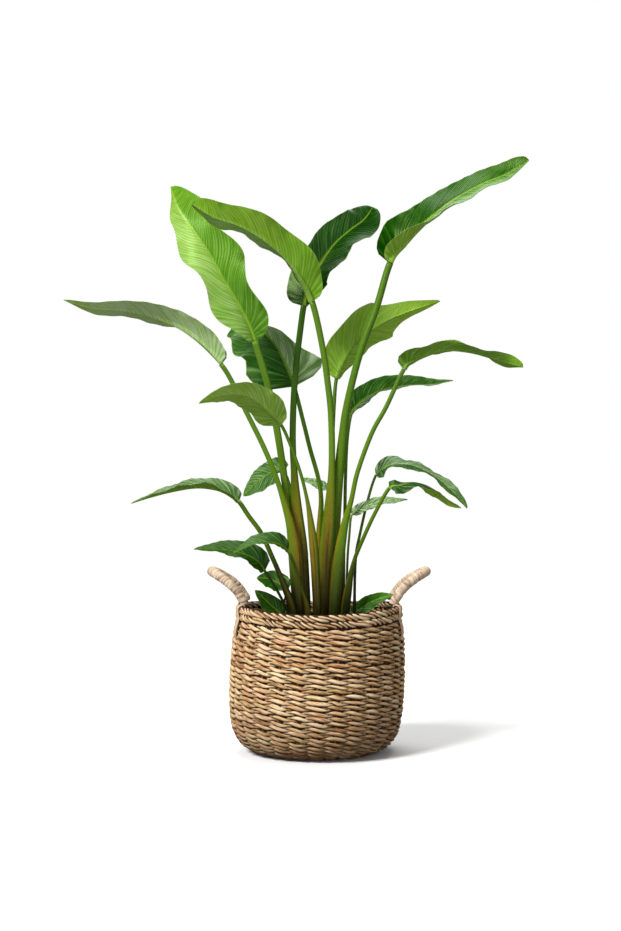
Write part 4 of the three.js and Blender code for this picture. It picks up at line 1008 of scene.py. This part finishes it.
def wall_radius(height):
    """Outside of the wall at a height, where a handle's leg lies on it."""
    return np.interp(height - lift_at(LEG_ANGLE, height), WALL_POINTS[:, 2], WALL_POINTS[:, 0])


def over_rim(degrees, deep):
    """A point that lies over the rim's rope, as distance from the axis and height."""
    angle = math.radians(degrees)
    reach = RIM_BEAD + 2 * GAP + deep
    return BEAD_RADIUS + reach * math.cos(angle), LEG_RIM + reach * math.sin(angle)


def on_leg(radius, height):
    return [radius * math.cos(LEG_ANGLE), -radius * math.sin(LEG_ANGLE), height]


def tube(curve, share, facing, shape, angle, deep, wide, side):
    """Rings of an oval tube whose outer side faces a given way, turned to the handle's side of
    the basket and leaning with the mouth."""
    centre, along = curve.at(share)
    outward = across(facing(centre), along)
    sideways = np.cross(along, outward)
    rings = centre[:, None] + column(shape) * oval(outward, sideways, angle, deep, wide)
    return rings * [side, side, 1] + lean_at(centre[:, 2:])


def from_loop(centre):
    """The way out from a point inside the grip's loop."""
    return centre * [1, 0.4, 1] - [118, 0, 250]


def from_rim(centre):
    """The way out from the wall or, above it, from the middle of the rim's rope."""
    rim = np.array(on_leg(BEAD_RADIUS, LEG_RIM))
    rim = np.where(centre[:, 1:2] > 0, rim * [1, -1, 1], rim)
    return centre - np.where([False, False, True], np.minimum(centre, rim), rim)


def make_handle(name, side, jute):
    """The grip: a rope under turns of cord, each turn a ridge of three cords."""
    foot = [on_leg(BEAD_RADIUS - 4.5, BEAD_HEIGHT + RIM_LIFT + 8.5),
            on_leg(BEAD_RADIUS - 3.5, BEAD_HEIGHT + RIM_LIFT + 14)]
    leg = foot + LOOP
    curve = Curve(leg + [[x, -y, z] for x, y, z in leg[-2::-1]])
    knots = curve.lengths[::CURVE_DIVISIONS]
    share = np.linspace(0, 1, round(curve.length / RING_STEP))
    run = share * curve.length
    to_end = np.minimum(run, curve.length - run)
    radius = np.interp(to_end, [0, 3, knots[2], curve.length / 2],
                       [TIP_RADIUS, 7.9, HANDLE_LEG_RADIUS, HANDLE_RADIUS])
    angle = round_angles(HANDLE_SIDES)
    middle = smoothstep(to_end, knots[3], curve.length / 2)
    pitch = lerp(WRAP_PITCH, WRAP_PITCH * WRAP_LOOSENS, middle)
    turns = np.cumsum(np.gradient(run) / pitch) + wander(
        np.random.default_rng(5 + side), share * TAU, 0.22, (3, 7, 11, 16))
    run, middle, radius = column(run), column(middle), column(radius)
    phase = (column(turns) + angle / TAU + 0.06 * np.sin(2 * angle + run / 11)) % 1
    ridge = np.abs(np.sin(math.pi * phase)) ** 0.4
    cords = np.abs(np.sin(3 * math.pi * phase)) ** 0.6
    shape = 1 + lerp(0.2, 0.16, middle) * (ridge - 1) + 0.035 * (cords - 1)
    shape = shape * (1 + 0.02 * np.sin(run / 6.5 + side) * np.cos(angle + run / 17))
    # painted shade: groove darkens the grooves between the turns, 1 - cords the gaps between a
    # turn's cords
    groove = (1 - ridge) ** 0.45 * lerp(1, 0.9, middle)
    body = Body()
    body.loft(tube(curve, share, from_loop, shape, angle, radius, radius, side),
              wrap_look=join(groove, 1 - cords, 0),
              wrap_fibre=wound(angle, run / 1.1))
    body.make(f"rope_handle_{name}", jute, "jute", [f"handle_{name}"])


def make_straps(name, side, jute):
    """The flat ends of the handle's rope, which lie over the rim and down the wall."""
    body = Body()
    angle = round_angles(STRAP_SIDES)
    share = np.linspace(0, 1, 90)
    for leg_side in (-1, 1):
        # up the wall: height, distance from it, and share of its stitches' relief
        route = [[wall_radius(z) + deep + STITCH_RELIEF * relief, z]
                 for z, deep, relief in ((197, -3, 0), (203, 0.6, 1), (217, 1.7, 1), (230, 1.8, 1))]
        route += [over_rim(degrees, deep)
                  for degrees, deep in ((5, 1.9), (40, 2), (75, 2), (105, 2), (130, 0.5))]
        curve = Curve(np.array([on_leg(*place) for place in route]) * [1, -leg_side, 1])
        wide = lerp(*STRAP_WIDTHS, smoothstep(share, 0, 0.6)) + 0.25 * np.sin(share * 40 + leg_side)
        dip = 1 - np.abs(np.sin(5 * angle))[None]
        rings = tube(curve, share, from_rim, 1 - 0.1 * dip, angle, STRAP_DEPTH, column(wide), side)
        run = column(share * curve.length)
        # painted shade along the strap's dips
        body.loft(rings, wrap_look=join(0.45 * dip, 0, 1),
                  wrap_fibre=wound(angle, run / 9, 3))
    body.make(f"strap_handle_{name}", jute, "jute", [f"handle_{name}"])


# ---------------------------------------------------------------- grow pot and soil
POT_SIDES = 128
CRUMBS = 1500
CRUMB_SIZE = 1.2, 4.2  # least and greatest half-length
CRUMB_SIDES = 6
SOIL_EDGE = 9  # the crumbs stay this far from the pot's wall


def make_pot(plastic):
    """A thin tapered shell with a step and a rolled lip."""
    foot = WALL + GAP
    top = foot + POT_HEIGHT
    inside = POT_TOP_RADIUS - POT_WALL
    lip = POT_TOP_RADIUS + POT_LIP
    # the section: out along the floor, up the outside, over the lip and down the inside
    radius, height = np.transpose([
        [2, foot], [POT_FOOT_RADIUS - 1, foot], [POT_FOOT_RADIUS, foot + 1],
        [POT_TOP_RADIUS - 3, top - 22], [POT_TOP_RADIUS, top - 20.5], [POT_TOP_RADIUS, top - 2],
        [lip - 0.4, top - 0.4], [lip, top + 0.3], [lip, top + 1.6], [lip - 0.5, top + 2],
        [inside + 0.5, top + 2], [inside, top + 1.5], [inside, top - 20], [inside - 3, top - 22],
        [POT_FOOT_RADIUS - POT_WALL, foot + POT_WALL], [2, foot + POT_WALL]])
    angle = column(round_angles(POT_SIDES))
    body = Body()
    body.loft(wound(angle, height, radius), closed=True)
    body.make("pot_shell", plastic, "black_plastic", ["grow_pot"], sharp=40)


def spun(x, y, angle):
    return x * math.cos(angle) - y * math.sin(angle), x * math.sin(angle) + y * math.cos(angle)


def make_crumbs(soil):
    """Bark chips and crumbs that lie on the soil."""
    rng = np.random.default_rng(11)
    body = Body()
    reach = POT_TOP_RADIUS - POT_WALL - SOIL_EDGE
    side = round_angles(CRUMB_SIDES)
    levels = column([-1, -0.5, 0.4, 1])  # of a chip's rings, from its middle
    girth = column([0.35, 1, 0.9, 0.3])  # and their widths, as shares of its size
    for _ in range(CRUMBS):
        radius = reach * math.sqrt(rng.uniform(0, 1))
        theta = rng.uniform(0, TAU)
        size = rng.uniform(*CRUMB_SIZE)
        ground = SOIL_TOP + SOIL_CROWN * (1 - radius / reach) ** 1.2 * 0.8
        spin = rng.uniform(0, TAU)
        flat = rng.uniform(0.35, 0.8)
        jitter = rng.uniform(0.75, 1.2, (len(levels), CRUMB_SIDES))
        x = girth * jitter * np.cos(side) * size
        y = girth * jitter * np.sin(side) * size * rng.uniform(0.4, 0.9)
        x, z = spun(x, levels * size * flat * 0.6, rng.normal(0, 0.35))
        x, y = spun(x, y, spin)
        body.loft(join(x + radius * math.cos(theta), y + radius * math.sin(theta),
                       z + ground + size * flat * 0.25))
    body.make("soil_crumbs", soil, "soil", sharp=30)


# ---------------------------------------------------------------- camera, light and floor
CAMERA_PLACE = -0.0094, -2.8, 0.4885  # level with the middle of the plant, as in the photo
CAMERA_LENS = 63.2
WORLD_LIGHT = 0.27
WORLD_GLOSS = 0.06  # what reflections see of it
FLOOR_REACH = 6


def make_camera():
    camera = put("camera", bpy.data.cameras.new("camera"))
    camera.location = CAMERA_PLACE
    camera.rotation_euler = (math.pi / 2, 0, 0)
    camera.data.lens = CAMERA_LENS
    camera.data.sensor_width = 36
    bpy.context.scene.camera = camera


def make_panel(name, place, target, size, power):
    panel = put(name, bpy.data.lights.new(name, "AREA"))
    panel.data.shape = "RECTANGLE"
    panel.data.size, panel.data.size_y = size
    panel.data.energy = power
    panel.location = place
    panel.rotation_euler = (Vector(target) - Vector(place)).to_track_quat("-Z", "Y").to_euler()
    panel.visible_camera = False


def make_sun(name, source, strength, spread):
    sun = put(name, bpy.data.lights.new(name, "SUN"))
    sun.data.energy = strength
    sun.data.angle = math.radians(spread)
    sun.rotation_euler = Vector(source).to_track_quat("Z", "Y").to_euler()


def make_world():
    """White to the camera, a soft light to everything else, and weaker still in reflections."""
    world = bpy.data.worlds.new("studio")
    m = Nodes(world)
    ray = m.node("LightPath").outputs
    light = m.range(ray["Is Glossy Ray"], 0, 1, WORLD_LIGHT, WORLD_GLOSS)
    background = m.tree.nodes["Background"].inputs
    m.feed(background["Strength"], m.math("MAXIMUM", light, ray["Is Camera Ray"]))
    m.feed(background["Color"], "#FFFFFF")
    bpy.context.scene.world = world


def make_studio():
    mesh = bpy.data.meshes.new("floor")
    far = FLOOR_REACH
    corners = [(-far, -far, 0), (far, -far, 0), (far, far, 0), (-far, far, 0)]
    mesh.from_pydata(corners, [], [(0, 1, 2, 3)])
    mesh.materials.append(make_floor_material())
    floor = put("floor", mesh)
    make_world()
    make_sun("key", (-0.75, -0.75, 0.9), 3.8, 20)
    make_sun("fill", (0.8, -0.9, 0.35), 0.3, 50)
    make_panel("overhead", (0.1, 0.9, 2.6), (0, 0, 0.5), (2.4, 1.4), 40)
    make_panel("bounce", (0.2, -1.3, 0.02), (0.1, -0.5, 1.0), (2.6, 1.4), 11)
    bpy.context.scene.view_settings.view_transform = "Standard"


# ---------------------------------------------------------------- the object
make_camera()
leaf_finish = make_leaf_material()
stalk_finish = make_stalk_material()
make_basket(make_seagrass_material())
jute_finish = make_jute_material()
for handle_side, where in ((-1, "left"), (1, "right")):
    make_handle(where, handle_side, jute_finish)
    make_straps(where, handle_side, jute_finish)
make_pot(make_pot_material())
soil_finish = make_soil_material()
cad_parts["soil"].data.materials.clear()
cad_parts["soil"].data.materials.append(soil_finish)
make_crumbs(soil_finish)
for number, leaf in enumerate(LEAVES, 1):
    make_blade(number, leaf, leaf_finish)
    make_stalk(number, leaf, stalk_finish)
make_studio()
